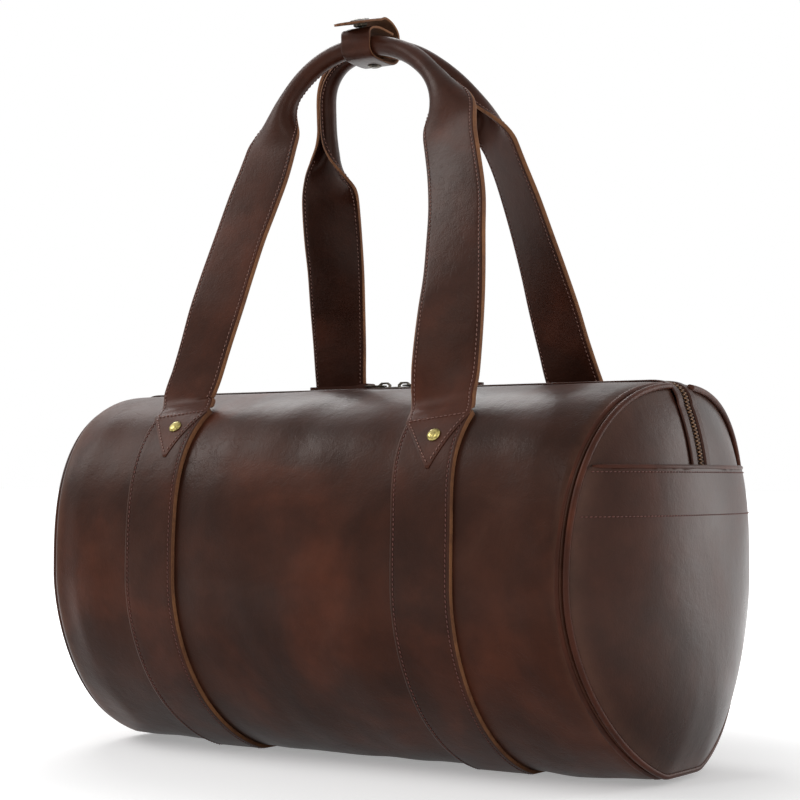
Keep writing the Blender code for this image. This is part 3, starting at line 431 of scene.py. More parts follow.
class Shader:
    """Small helper that builds one node tree."""

    def __init__(self, tree: NodeTree) -> None:
        """Keeps the tree that nodes are added to."""
        self.tree = tree

    def give(self, node: Node, values: dict[str | int, object]) -> None:
        """Sets plain values on a node's inputs, and links sockets to them."""
        for key, value in values.items():
            if isinstance(value, Socket):
                self.tree.links.new(value, node.inputs[key])
            else:
                node.inputs[key].default_value = value

    def node(
        self,
        kind: str,
        settings: dict[str, object] | None = None,
        values: dict[str | int, object] | None = None,
    ) -> Node:
        """Adds a node.

        Args:
            kind: The node's type.
            settings: Properties of the node.
            values: Plain values, or sockets to link, by input name or index.

        Returns:
            The node.
        """
        node = self.tree.nodes.new(kind)
        for key, value in (settings or {}).items():
            setattr(node, key, value)
        self.give(node, values or {})
        return node

    def noise(
        self, vector: Socket, scale: object, detail: float, roughness: float, distortion: float = 0.0
    ) -> Socket:
        """Returns the value of a noise texture."""
        values = {"Vector": vector, "Scale": scale, "Detail": detail, "Roughness": roughness,
                  "Distortion": distortion}
        return self.node("ShaderNodeTexNoise", None, values).outputs["Fac"]

    def math(self, operation: str, first: object, second: object, clamp: bool = False) -> Socket:
        """Returns the result of one sum."""
        settings = {"operation": operation, "use_clamp": clamp}
        return self.node("ShaderNodeMath", settings, {0: first, 1: second}).outputs[0]

    def span(self, value: object, low: float, high: float, start: float = 0.0, end: float = 1.0) -> Socket:
        """Returns a value eased from one range into another."""
        values = {"Value": value, "From Min": low, "From Max": high, "To Min": start, "To Max": end}
        return self.node("ShaderNodeMapRange", {"interpolation_type": "SMOOTHSTEP"}, values).outputs["Result"]

    def mix(self, share: object, first: object, second: object, blend: str = "MIX") -> Socket:
        """Returns a mixture of two colours."""
        settings = {"data_type": "RGBA", "blend_type": blend}
        return self.node("ShaderNodeMix", settings, {0: share, 6: first, 7: second}).outputs[2]

    def grey(self, value: Socket) -> Socket:
        """Returns a colour with the value in all three channels."""
        return self.node("ShaderNodeCombineColor", None, {0: value, 1: value, 2: value}).outputs[0]

    def bump(self, height: Socket, strength: float = 1.0) -> Socket:
        """Returns the normal of a surface with a height in metres."""
        values = {"Height": height, "Strength": strength, "Distance": 1.0}
        return self.node("ShaderNodeBump", None, values).outputs["Normal"]


def new_group(
    name: str, inputs: Sequence[tuple[str, str, object]], outputs: Sequence[tuple[str, str]]
) -> tuple[NodeTree, Shader, Node, Node]:
    """Starts a shader node group.

    Args:
        name: The group's name.
        inputs: Name, socket type and default of each input.
        outputs: Name and socket type of each output.

    Returns:
        The group, its builder, and its input and output nodes.
    """
    group = bpy.data.node_groups.new(name, "ShaderNodeTree")
    for label, kind, value in inputs:
        socket = group.interface.new_socket(label, in_out="INPUT", socket_type=kind)
        if value is not None:
            socket.default_value = value
    for label, kind in outputs:
        group.interface.new_socket(label, in_out="OUTPUT", socket_type=kind)
    shader = Shader(group)
    return group, shader, shader.node("NodeGroupInput"), shader.node("NodeGroupOutput")


@dataclass(frozen=True)
class HidePattern:
    """The pull-up leather's pattern: scales count features in a metre, heights are in metres."""

    patch_span: Span = (0.46, 0.66)
    mottle_scale: float = 42.0
    mottle_span: Span = (0.30, 0.72)
    mottle_shades: Span = (0.84, 1.14)
    cloud_scale: float = 10.0
    cloud_span: Span = (0.32, 0.70)
    cloud_shades: Span = (0.66, 1.22)
    bloom_scale: float = 11.0
    bloom_span: Span = (0.56, 0.84)
    bloom_share: float = 0.22
    rub_span: Span = (0.2, 0.7)
    rub_shares: Span = (0.35, 1.0)
    crease_scale: float = 55.0
    crease_reach: float = 0.022
    creased_scale: float = 8.0
    creased_span: Span = (0.48, 0.66)
    crease_height: float = -0.00006
    crease_roughness: float = 0.06
    pore_scale: float = 620.0
    pore_height: float = -0.00006
    wrinkle_scale: float = 170.0
    wrinkle_height: float = 0.00018
    dent_scale: float = 30.0
    dent_height: float = 0.0008
    gloss_span: Span = (0.3, 0.7)
    gloss_shifts: Span = (-0.05, 0.07)

    def group(self) -> NodeTree:
        """Builds the leather: patches, mottling, crease lines, pores and wear.

        Returns:
            The group, with colour, roughness and height outputs.
        """
        group, s, ins, outs = new_group(
            "pull_up_leather",
            [("Vector", "NodeSocketVector", None), ("Base", "NodeSocketColor", (0.04, 0.02, 0.01, 1)),
             ("Patch", "NodeSocketColor", (0.1, 0.03, 0.02, 1)),
             ("Pale", "NodeSocketColor", (0.2, 0.1, 0.06, 1)),
             ("Wear", "NodeSocketFloat", 0.0), ("Patch Scale", "NodeSocketFloat", 8.0),
             ("Creases", "NodeSocketFloat", 1.0), ("Roughness", "NodeSocketFloat", 0.4)],
            [("Color", "NodeSocketColor"), ("Roughness", "NodeSocketFloat"), ("Height", "NodeSocketFloat")],
        )
        given = ins.outputs
        place = given["Vector"]
        mottle = s.noise(place, self.mottle_scale, 6.0, 0.62)
        cloud = s.noise(place, self.cloud_scale, 4.0, 0.55, 0.4)
        bloom = s.noise(place, self.bloom_scale, 6.0, 0.6, 0.8)
        colour = self.colour(s, given, mottle, cloud, bloom)
        folds = s.noise(place, self.crease_scale, 3.0, 0.55, 1.4)
        ridge = s.math("ABSOLUTE", s.math("SUBTRACT", folds, 0.5), 0.0)
        creased = s.span(s.noise(place, self.creased_scale, 3.0, 0.5), *self.creased_span)
        lines = s.math("MULTIPLY", s.span(ridge, 0.0, self.crease_reach, 1.0, 0.0), creased)
        lines = s.math("MULTIPLY", lines, given["Creases"])
        pores = s.node("ShaderNodeTexVoronoi", None, {"Vector": place, "Scale": self.pore_scale})
        height = s.math("MULTIPLY", lines, self.crease_height)
        for relief, size in (
            (pores.outputs["Distance"], self.pore_height),
            (s.noise(place, self.wrinkle_scale, 5.0, 0.6, 0.5), self.wrinkle_height),
            (s.noise(place, self.dent_scale, 3.0, 0.5), self.dent_height),
        ):
            height = s.math("ADD", height, s.math("MULTIPLY", relief, size))
        rough = s.math("ADD", given["Roughness"], s.span(cloud, *self.gloss_span, *self.gloss_shifts))
        rough = s.math("ADD", rough, s.math("MULTIPLY", lines, self.crease_roughness), True)
        s.give(outs, {"Color": colour, "Roughness": rough, "Height": height})
        return group

    def colour(self, s: Shader, given: object, mottle: Socket, cloud: Socket, bloom: Socket) -> Socket:
        """Mixes the leather's colour.

        Args:
            s: The group's builder.
            given: The group's inputs.
            mottle: Fine clouds.
            cloud: Broad clouds.
            bloom: Where the wax blooms.

        Returns:
            The colour.
        """
        patches = s.span(s.noise(given["Vector"], given["Patch Scale"], 4.0, 0.55, 0.6), *self.patch_span)
        colour = s.mix(patches, given["Base"], given["Patch"])
        shade = s.span(mottle, *self.mottle_span, *self.mottle_shades)
        shade = s.math("MULTIPLY", shade, s.span(cloud, *self.cloud_span, *self.cloud_shades))
        colour = s.mix(1.0, colour, s.grey(shade), "MULTIPLY")
        pale = s.math("MULTIPLY", s.span(bloom, *self.bloom_span), self.bloom_share)
        rubbed = s.math("MULTIPLY", given["Wear"], s.span(mottle, *self.rub_span, *self.rub_shares))
        return s.mix(s.math("ADD", pale, rubbed, True), colour, given["Pale"])


@dataclass(frozen=True)
class FibrePattern:
    """Cut fibre, as on raw leather edges and cloth: broad and fine streaks of light and dark."""

    broad_scale: float = 45.0
    broad_share: float = 0.6
    fine_share: float = 0.4
    streak_span: Span = (0.3, 0.7)

    def group(self) -> NodeTree:
        """Builds the fibre.

        Returns:
            The group, with colour and height outputs.
        """
        group, s, ins, outs = new_group(
            "cut_fibre",
            [("Vector", "NodeSocketVector", None), ("Light", "NodeSocketColor", (0.3, 0.15, 0.08, 1)),
             ("Dark", "NodeSocketColor", (0.1, 0.05, 0.03, 1)), ("Scale", "NodeSocketFloat", 300.0),
             ("Depth", "NodeSocketFloat", 0.0001)],
            [("Color", "NodeSocketColor"), ("Height", "NodeSocketFloat")],
        )
        given = ins.outputs
        broad = s.noise(given["Vector"], self.broad_scale, 3.0, 0.5)
        fine = s.noise(given["Vector"], given["Scale"], 4.0, 0.6)
        broad_streaks = s.math("MULTIPLY", s.span(broad, *self.streak_span), self.broad_share)
        fine_streaks = s.math("MULTIPLY", s.span(fine, *self.streak_span), self.fine_share)
        share = s.math("ADD", broad_streaks, fine_streaks, True)
        height = s.math("MULTIPLY", fine, given["Depth"])
        s.give(outs, {"Color": s.mix(share, given["Dark"], given["Light"]), "Height": height})
        return group


def start_material(name: str) -> tuple[Material, Shader, Node, Socket]:
    """Starts a material.

    Args:
        name: The finish's name.

    Returns:
        The material, its builder, its Principled shader and the object coordinates.
    """
    material = bpy.data.materials.new(name)
    material.use_nodes = True
    shader = Shader(material.node_tree)
    principled = material.node_tree.nodes["Principled BSDF"]
    return material, shader, principled, shader.node("ShaderNodeTexCoord").outputs["Object"]


@dataclass(frozen=True)
class HideFinish:
    """Pull-up leather with its oils showing as patches."""

    name: str
    base: Colour
    patch: Colour
    pale: Colour
    roughness: float
    patch_scale: float
    creases: float = 1.0
    specular: float = 0.14
    bump: float = 0.9
    sheen: Colour = (1.0, 0.84, 0.76, 1.0)
    seed: tuple[float, float, float] = (0.0, 0.0, 0.0)

    def material(self, group: NodeTree) -> Material:
        """Returns the finish as a material that uses the shared leather group."""
        material, s, principled, place = start_material(self.name)
        moved = s.node("ShaderNodeMapping", None, {"Vector": place, "Location": self.seed}).outputs[0]
        worn = s.node("ShaderNodeAttribute", {"attribute_name": "wear"}).outputs["Fac"]
        hide = s.node("ShaderNodeGroup", {"node_tree": group}, {
            "Vector": moved, "Base": self.base, "Patch": self.patch, "Pale": self.pale, "Wear": worn,
            "Patch Scale": self.patch_scale, "Creases": self.creases, "Roughness": self.roughness,
        }).outputs
        s.give(principled, {
            "Base Color": hide["Color"], "Roughness": hide["Roughness"],
            "Normal": s.bump(hide["Height"], self.bump), "Specular IOR Level": self.specular,
            "Specular Tint": self.sheen,
        })
        return material


@dataclass(frozen=True)
class FibreFinish:
    """Raw leather edge, thread, cloth or cord."""

    name: str
    light: Colour
    dark: Colour
    scale: float = 320.0
    depth: float = 0.0002
    roughness: float = 0.8

    def material(self, group: NodeTree) -> Material:
        """Returns the finish as a material that uses the shared fibre group."""
        material, s, principled, place = start_material(self.name)
        fibre = s.node("ShaderNodeGroup", {"node_tree": group}, {
            "Vector": place, "Light": self.light, "Dark": self.dark, "Scale": self.scale, "Depth": self.depth,
        }).outputs
        s.give(principled, {
            "Base Color": fibre["Color"], "Normal": s.bump(fibre["Height"]), "Roughness": self.roughness,
        })
        return material


@dataclass(frozen=True)
class BrassFinish:
    """Antique brass: bright where it is rubbed, dark and duller where it isn't."""

    name: str
    bright: Colour
    dark: Colour
    roughness: float
    dulling: float = 0.22
    tarnish_scale: float = 420.0
    tarnish_span: Span = (0.38, 0.66)

    def material(self) -> Material:
        """Returns the finish as a material."""
        material, s, principled, place = start_material(self.name)
        tarnish = s.span(s.noise(place, self.tarnish_scale, 5.0, 0.6, 0.6), *self.tarnish_span)
        s.give(principled, {
            "Base Color": s.mix(tarnish, self.bright, self.dark), "Metallic": 1.0,
            "Roughness": s.span(tarnish, 0.0, 1.0, self.roughness, self.roughness + self.dulling),
        })
        return material


@dataclass
class Finishes:
    """Every material of the bag, made once."""

    made: dict[str, Material] = field(default_factory=dict)

    def make(self) -> None:
        """Builds the shared groups and every finish."""
        base, patch, pale = (0.038, 0.0118, 0.0064, 1), (0.070, 0.0195, 0.0096, 1), (0.125, 0.058, 0.038, 1)
        strap, strap_patch = (0.042, 0.0132, 0.0074, 1), (0.062, 0.0180, 0.0096, 1)
        pocket, pocket_patch = (0.035, 0.0122, 0.0076, 1), (0.048, 0.0150, 0.0088, 1)
        piping, piping_patch = (0.058, 0.0165, 0.0092, 1), (0.098, 0.027, 0.013, 1)
        end_seed, strap_seed, grip_seed = (0.4, 0.2, 0.7), (1.3, 0.6, 0.1), (0.2, 2.6, 1.1)
        keeper_seed, piping_seed = (2.1, 0.4, 1.9), (3.0, 0.1, 0.4)
        hides = (
            HideFinish("panel_hide", base, patch, pale, 0.36, 7.0),
            HideFinish("end_hide", base, patch, pale, 0.34, 9.0, seed=end_seed),
            HideFinish(
                "pocket_hide", pocket, pocket_patch, pale, 0.30, 9.0, specular=0.19, bump=0.6, seed=end_seed),
            HideFinish("strap_hide", strap, strap_patch, pale, 0.38, 13.0, creases=0.5, seed=strap_seed),
            HideFinish("grip_hide", strap, strap_patch, pale, 0.36, 13.0, creases=0.6, seed=grip_seed),
            HideFinish("keeper_hide", strap, strap_patch, pale, 0.34, 30.0, creases=0.3, seed=keeper_seed),
            HideFinish("piping_hide", piping, piping_patch, pale, 0.38, 20.0, seed=piping_seed),
        )
        thread_look, cloth_look, cord_look = (900.0, 0.0001, 0.55), (700.0, 0.0002, 0.9), (500.0, 0.0004, 0.9)
        fibres = (
            FibreFinish("raw_edge", (0.290, 0.122, 0.046, 1), (0.130, 0.048, 0.019, 1)),
            FibreFinish("flesh_side", (0.215, 0.088, 0.032, 1), (0.105, 0.040, 0.016, 1), *cord_look),
            FibreFinish("thread", (0.270, 0.130, 0.098, 1), (0.150, 0.066, 0.050, 1), *thread_look),
            FibreFinish("red_thread", (0.150, 0.044, 0.031, 1), (0.080, 0.022, 0.016, 1), *thread_look),
            FibreFinish("lining_cloth", (0.150, 0.105, 0.070, 1), (0.100, 0.068, 0.045, 1), *cloth_look),
            FibreFinish("zip_cloth", (0.045, 0.020, 0.013, 1), (0.022, 0.010, 0.007, 1), 900.0, 0.0002, 0.85),
            FibreFinish("twisted_cord", (0.340, 0.270, 0.190, 1), (0.200, 0.150, 0.100, 1), *cord_look),
        )
        metals = (
            BrassFinish("antique_brass", (0.430, 0.360, 0.125, 1), (0.170, 0.138, 0.050, 1), 0.26),
            BrassFinish("dark_metal", (0.090, 0.075, 0.055, 1), (0.030, 0.026, 0.022, 1), 0.34),
            BrassFinish("zip_teeth_metal", (0.150, 0.080, 0.040, 1), (0.060, 0.034, 0.020, 1), 0.42),
        )
        leather, fibre = HidePattern().group(), FibrePattern().group()
        self.made = {finish.name: finish.material(leather) for finish in hides}
        self.made |= {finish.name: finish.material(fibre) for finish in fibres}
        self.made |= {finish.name: finish.material() for finish in metals}

    def dress(self, obj: Object, slot: Slot, *names: str) -> Object:
        """Puts finishes on a piece, in slot order.

        Args:
            obj: The piece.
            slot: The record's material slot; not used.
            names: The finishes, the first for the face and the next for its raw edge.

        Returns:
            The piece.
        """
        for name in names:
            obj.data.materials.append(self.made[name])
        return obj


# The bag's own surfaces


@dataclass(frozen=True)
class Barrel:
    """Section, length and ends of the filled bag, as in the frame.

    Attributes:
        powers: How square the section is: upper and lower half, then the same at the ends.
        left_roll_share: Size of the left end's rolled edge beside the right one's.
        root_drifts: How far each strap stands aside in front of the handles' roots.
        rear_drifts: How far each strap wanders up the rear.
        zip_end_share: Share of the dome's height at which the zip goes into the pocket.
        relief_ends: Where the relief fades out, from the ends of the bag.
    """

    length: float = 0.482
    width: float = 0.275
    height: float = 0.279
    shoulder: float = 0.041
    floor_flat: float = 0.004
    leather: float = 0.0020
    edge_roll: float = 0.0065
    roll_length: float = 0.012
    roll_arc_share: float = 1.22
    left_roll_share: float = 0.4
    seam_bow: float = 0.016
    strap_top: float = 0.0033
    powers: tuple[float, float, float, float] = (2.84, 1.90, 2.46, 1.78)
    rim_drop: float = 0.0060
    end_leather: float = 0.0016
    end_standoff: float = 0.0018
    end_bulge: float = 0.0185
    end_power: float = 3.6
    slot_width: float = 0.024
    zip_end_share: float = 0.50
    zip_tail: float = 0.006
    strap_middles: Span = (-0.1260, 0.1170)
    strap_widths: Span = (0.0456, 0.0485)
    root_drifts: Span = (-0.0017, -0.0052)
    root_angles: Span = (math.radians(50), math.radians(78))
    rear_drifts: Span = (0.0005, -0.0060)
    rear_angles: Span = (math.pi * 1.1, math.pi * 1.75)
    relief_gap: float = 0.001
    relief_run: float = 0.040
    relief_ends: Span = (0.045, 0.012)
    relief_top: Span = (0.06, 0.22)
    middle_bay: float = 0.09
    middle_swell: float = 0.0014
    outer_swell: float = 0.0006
    broad_scale: float = 9.0
    broad_seed: float = 4.0
    broad_dent: float = 0.0032
    fine_scales: Span = (30.0, 22.0)
    fine_seed: float = 9.0
    fine_dent: float = 0.0011
    sag: float = 0.0007
    upper_sag_share: float = 0.3

    @property
    def centre_z(self) -> float:
        """Height of the barrel's axis."""
        return self.height / 2 - self.floor_flat + self.strap_top

    @property
    def top_z(self) -> float:
        """Height of the barrel's top."""
        return self.centre_z + self.height / 2

    @property
    def half(self) -> float:
        """Half the length between the end seams."""
        return self.length / 2

    @property
    def straight_end(self) -> float:
        """Where the shoulders start."""
        return self.half - self.shoulder

    def section(self, angle: float, offset: float = 0.0, end_share: float = 0.0) -> tuple[float, float]:
        """Returns (y, z) of the outline at an angle from the top, towards -Y first."""
        half_width = self.width / 2 + offset
        half_height = self.height / 2 + offset
        across, up = math.sin(angle), math.cos(angle)
        upper, lower, end_upper, end_lower = self.powers
        power = lerp(upper, end_upper, end_share) if up >= 0 else lerp(lower, end_lower, end_share)
        reach = (abs(across / half_width) ** power + abs(up / half_height) ** power) ** (-1.0 / power)
        floor = self.floor_flat - self.height / 2 - offset
        return -reach * across, self.centre_z + max(reach * up, floor)

    def slot_angle(self, half_slot: float, offset: float = 0.0, end_share: float = 0.0) -> float:
        """Returns the angle at which the section stands half a slot from the middle."""

        def inside(angle: float) -> bool:
            return abs(self.section(angle, offset, end_share)[0]) < half_slot

        return bisected(0.0, math.pi / 4, inside, 36)

    def end_point(self, angle: float, share: float, stand: float, bulge: float) -> Vector:
        """Returns a point of the right dome: share 1 is its rim, 0 its middle."""
        y, z = self.section(angle, -self.rim_drop, 1.0)
        bow = self.seam_bow * (math.sin(angle) * share) ** 2
        x = self.half + stand - bow + bulge * (1.0 - abs(share) ** self.end_power)
        return Vector((x, y * share, self.centre_z + (z - self.centre_z) * share))

    def dome_point(self, y: float, z: float, stand: float, bulge: float) -> Vector:
        """Returns the dome's point over (y, z)."""
        angle = math.atan2(-y, z - self.centre_z)
        rim_y, rim_z = self.section(angle, -self.rim_drop, 1.0)
        share = math.hypot(y, z - self.centre_z) / math.hypot(rim_y, rim_z - self.centre_z)
        return self.end_point(angle, share, stand, bulge)

    def strap_middle(self, index: int, angle: float) -> float:
        """Returns a strap's place along the bag, which drifts a little in front and up the rear."""
        front = self.root_drifts[index] * (1.0 - smooth_share(angle, *self.root_angles))
        rear = self.rear_drifts[index] * smooth_share(angle, *self.rear_angles)
        return self.strap_middles[index] + front + rear

    def relief(self, x: float, angle: float) -> float:
        """Returns how far the filled leather stands out or dips between the straps.

        Args:
            x: Place along the bag.
            angle: Angle from the top.

        Returns:
            The offset, zero under the straps, at the slot and at the seams.
        """
        mask = 1.0
        for index in (0, 1):
            reach = self.strap_widths[index] / 2 + self.relief_gap
            mask *= smooth_share(abs(x - self.strap_middle(index, angle)), reach, reach + self.relief_run)
        outer, inner = self.relief_ends
        mask *= 1.0 - smooth_share(abs(x), self.half - outer, self.half - inner)
        mask *= smooth_share(abs(math.sin(angle / 2)), *self.relief_top)
        y, z = self.section(angle)
        swell = self.middle_swell if abs(x) < self.middle_bay else self.outer_swell
        scale, (scale_x, scale_yz) = self.broad_scale, self.fine_scales
        broad_place = Vector((x * scale, y * scale, z * scale + self.broad_seed))
        fine_place = Vector((x * scale_x, y * scale_yz, z * scale_yz + self.fine_seed))
        broad = noise.noise(broad_place) * self.broad_dent
        fine = noise.noise(fine_place) * self.fine_dent
        sag = self.sag * math.sin(angle) ** 2 * (1.0 if math.cos(angle) < 0 else self.upper_sag_share)
        return mask * (swell + broad + fine + sag)


@dataclass
class Shell:
    """Main panel, domed ends with their slip pockets, and the piping in the end seams."""

    barrel: Barrel
    finishes: Finishes
    panel_rim_share: float = 1.018
    pocket_rim_share: float = 1.015
    pocket_leather: float = 0.0018
    pocket_standoff: float = 0.0029
    pocket_slack: float = 0.0015
    pocket_top: float = 0.2185
    pocket_inset: float = 0.001
    hem_depth: float = 0.033
    hem_roll: float = 0.0017
    hem_inset: float = 0.0016
    hem_seam_drop: float = 0.0035
    hem_end_share: float = 0.55
    hem_end_run: float = 0.03
    piping_radius: float = 0.0022
    piping_drop: float = 0.0030
    left_piping_drop: float = 0.0046
    bead_radius: float = 0.0024
    bead_drop: float = 0.0026
    bead_inset: float = 0.0046
    rim_wear: float = 0.5
    rim_wear_span: Span = (0.93, 0.97)
    rim_wear_fade: Span = (0.975, 0.995)
    lip_wear: float = 0.35
    lip_wear_fade: Span = (0.002, 0.012)
    dome_wear: float = 0.35
    dome_wear_span: Span = (0.94, 0.99)
    seam: Seam = field(default_factory=Seam)

    def panel_surface(self, u: float, v: float) -> Vector:
        """Returns the main panel's outer face: u runs along the bag, v round it."""
        bag = self.barrel
        reach = bag.half - SEAT_GAP
        size = 1.0 if u > 0.5 else bag.left_roll_share
        straight = reach - bag.roll_length * size
        arc = bag.roll_length * size * bag.roll_arc_share
        run = abs(2 * u - 1) * (straight + arc)
        if run < straight:
            x, drop = run, 0.0
        else:
            turn = math.pi / 2 * min((run - straight) / arc, 1.0)
            x = reach - bag.roll_length * size * (1.0 - math.sin(turn))
            drop = bag.edge_roll * size * (1.0 - math.cos(turn))
        share = max(0.0, (x - bag.straight_end) / bag.shoulder)
        first = bag.slot_angle(bag.slot_width / 2, -drop, share)
        angle = lerp(first, math.tau - first, v)
        x_signed = math.copysign(x, 2 * u - 1)
        y, z = bag.section(angle, bag.relief(x_signed, angle) - drop, share)
        bow = bag.seam_bow * math.sin(angle) ** 2 * share
        return Vector((x_signed - math.copysign(bow, x_signed), y, z))

    def panel_wear(self, u: float, v: float) -> float:
        """Returns how rubbed the panel is: most on the rolled ends and beside the zip."""
        along = abs(2 * u - 1)
        rim = smooth_share(along, *self.rim_wear_span) * (1.0 - smooth_share(along, *self.rim_wear_fade))
        lip = 1.0 - smooth_share(min(v, 1.0 - v), *self.lip_wear_fade)
        return self.rim_wear * rim + self.lip_wear * lip

    def build_panel(self) -> None:
        """Makes the wrap-round main panel."""
        ends = [0.0, 0.006, 0.012, 0.018, 0.024, 0.030, 0.036, 0.042, 0.050]
        lips = [0.0, 0.0015, 0.003, 0.006]
        us = mirrored(ends, steps(110, 0.06, 0.94))
        vs = mirrored(lips, steps(168, 0.01, 0.99))
        bm = laid_grid(us, vs, self.panel_surface, wear=self.panel_wear, flip=True)
        panel = wall(object_of(bm, "main_panel_leather"), self.barrel.leather, 0)
        self.finishes.dress(panel, Slot.PANEL, "panel_hide")
        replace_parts(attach(panel, "bag"), "main_panel")
        LOG.info("main panel: %d faces", len(panel.data.polygons))

    def dome(self, side: Side, stand: float, bulge: float, rim: float) -> BMesh:
        """Makes one domed sheet.

        Args:
            side: The bag's end.
            stand: How far the rim stands off the seam plane.
            bulge: How far the middle stands off the rim.
            rim: The share of the rim at which the sheet ends.

        Returns:
            The sheet, its faces outward.
        """

        def surface(u: float, v: float) -> Vector:
            point = self.barrel.end_point(math.tau * u, v, stand, bulge)
            return Vector((point.x * side.value, point.y, point.z))

        def wear(_: float, v: float) -> float:
            return self.dome_wear * smooth_share(v, *self.dome_wear_span)

        shares = [rim, rim - 0.01, rim - 0.025] + steps(26, rim - 0.05, 0.0)
        bm = laid_grid(steps(144), shares, surface, wear=wear)
        bmesh.ops.recalc_face_normals(bm, faces=bm.faces[:])
        face = max(bm.faces, key=lambda f: abs(f.normal.x))
        if face.normal.x * side.value < 0:
            bmesh.ops.reverse_faces(bm, faces=bm.faces[:])
        return bm

    def build_end_panel(self, side: Side) -> None:
        """Makes one domed end, with the zip's slot cut out."""
        bag = self.barrel
        bm = self.dome(side, bag.end_standoff, bag.end_bulge, self.panel_rim_share)
        low = bag.end_point(0.0, bag.zip_end_share, 0.0, 0.0).z - bag.zip_tail
        half = bag.slot_width / 2
        across, up = (0, 1, 0), (0, 0, 1)
        for place, direction in (((0, -half, 0), across), ((0, half, 0), across), ((0, 0, low), up)):
            geometry = bm.verts[:] + bm.edges[:] + bm.faces[:]
            bmesh.ops.bisect_plane(bm, geom=geometry, plane_co=place, plane_no=direction)
        middles = [(face, face.calc_center_median()) for face in bm.faces]
        inside = [face for face, middle in middles if abs(middle.y) < half and middle.z > low]
        bmesh.ops.delete(bm, geom=inside, context="FACES")
        panel = wall(object_of(bm, "end_leather_" + side.word), bag.end_leather, 0)
        self.finishes.dress(panel, Slot.PANEL, "pocket_hide")
        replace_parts(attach(panel, "bag"), "end_panel_" + side.word)

    def half_width_at(self, z: float) -> float:
        """Returns half the width of an end at a height."""
        bag = self.barrel

        def inside(y: float) -> bool:
            rim_y, rim_z = bag.section(math.atan2(-y, z - bag.centre_z), -bag.rim_drop, 1.0)
            return math.hypot(y, z - bag.centre_z) < math.hypot(rim_y, rim_z - bag.centre_z)

        return bisected(bag.width / 4, bag.width, inside)

    def hem_radius(self, share: float) -> float:
        """Returns the radius of the rolled hem, which thins out where it is sewn in."""
        full = smooth_share(min(share, 1.0 - share), 0.0, self.hem_end_run)
        return self.hem_roll * lerp(self.hem_end_share, 1.0, full)

    def build_pocket(self, side: Side) -> None:
        """Makes one slip pocket with its rolled hem and both its seams."""
        bag = self.barrel
        stand = bag.end_standoff + self.pocket_standoff
        bulge = bag.end_bulge + self.pocket_slack
        bm = self.dome(side, stand, bulge, self.pocket_rim_share)
        geometry = bm.verts[:] + bm.edges[:] + bm.faces[:]
        top = (0, 0, self.pocket_top)
        bmesh.ops.bisect_plane(bm, geom=geometry, plane_co=top, plane_no=(0, 0, 1), clear_outer=True)
        pocket = wall(object_of(bm, "pocket_leather_" + side.word), self.pocket_leather, 0)
        self.finishes.dress(pocket, Slot.PANEL, "pocket_hide")
        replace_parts(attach(pocket, "bag"), "end_pocket_" + side.word)

        def face(u: float, v: float) -> Vector:
            point = bag.dome_point(u, v, stand, bulge)
            return Vector((point.x * side.value, point.y, point.z))

        reach = self.half_width_at(self.pocket_top) - self.hem_inset
        inward = Vector((self.pocket_leather / 2 * side.value, 0, 0))
        edge = [face(y, self.pocket_top) - inward for y in steps(60, -reach, reach)]
        hem = object_of(tube(edge, self.hem_radius, 10), "pocket_hem_" + side.word)
        self.finishes.dress(hem, Slot.PANEL, "piping_hide")
        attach(hem, "bag")

        threads = bmesh.new()
        sewn = 0
        for drop in (self.hem_seam_drop, self.hem_depth):
            z = self.pocket_top - drop
            reach = self.half_width_at(z) - self.pocket_inset
            trail = [(y, z) for y in steps(40, -reach, reach)]
            sewn += self.seam.sew(threads, face, trail, Vector((side.value, 0, 0)))
        stitches = object_of(threads, "end_stitches_" + side.word)
        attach(self.finishes.dress(stitches, Slot.STRAP, "red_thread"), "bag")
        LOG.info("%s pocket: %d stitches", side.word, sewn)

    def end_ring(self, side: Side, drop: float, stand: float, slot_gap: float) -> list[Vector]:
        """Follows an end seam from one side of the zip's slot round to the other.

        Args:
            side: The bag's end.
            drop: How far the ring lies inside the section.
            stand: How far it stands off the end of the barrel.
            slot_gap: From the slot to the ends of the ring.

        Returns:
            The points of the ring.
        """
        bag = self.barrel
        start = bag.slot_angle(bag.slot_width / 2 + slot_gap, -drop, 1.0)
        ring = []
        for angle in steps(180, start, math.tau - start):
            y, z = bag.section(angle, -drop, 1.0)
            x = bag.half + stand - bag.seam_bow * math.sin(angle) ** 2
            ring.append(Vector((x * side.value, y, z)))
        return ring

    def build_piping(self, side: Side) -> None:
        """Makes the corded piping in one end seam."""
        drop = self.piping_drop if side is Side.RIGHT else self.left_piping_drop
        ring = self.end_ring(side, drop, self.piping_radius, self.piping_radius + SEAT_GAP)
        piping = object_of(tube(ring, lambda _: self.piping_radius, 14), "piping_leather_" + side.word)
        self.finishes.dress(piping, Slot.STRAP, "piping_hide" if side is Side.RIGHT else "panel_hide")
        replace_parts(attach(piping, "bag"), "piping_" + side.word)

    def build_bead(self, side: Side) -> None:
        """Makes the rolled seam allowance, a second bead beside the piping."""
        ring = self.end_ring(side, self.bead_drop, -self.bead_inset, self.bead_radius)
        bead = object_of(tube(ring, lambda _: self.bead_radius, 14), "seam_bead_leather_" + side.word)
        self.finishes.dress(bead, Slot.PANEL, "piping_hide")
        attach(bead, "bag")

    def build(self) -> None:
        """Makes the whole shell."""
        self.build_panel()
        for side in Side:
            self.build_end_panel(side)
            self.build_pocket(side)
            self.build_piping(side)
        self.build_bead(Side.RIGHT)


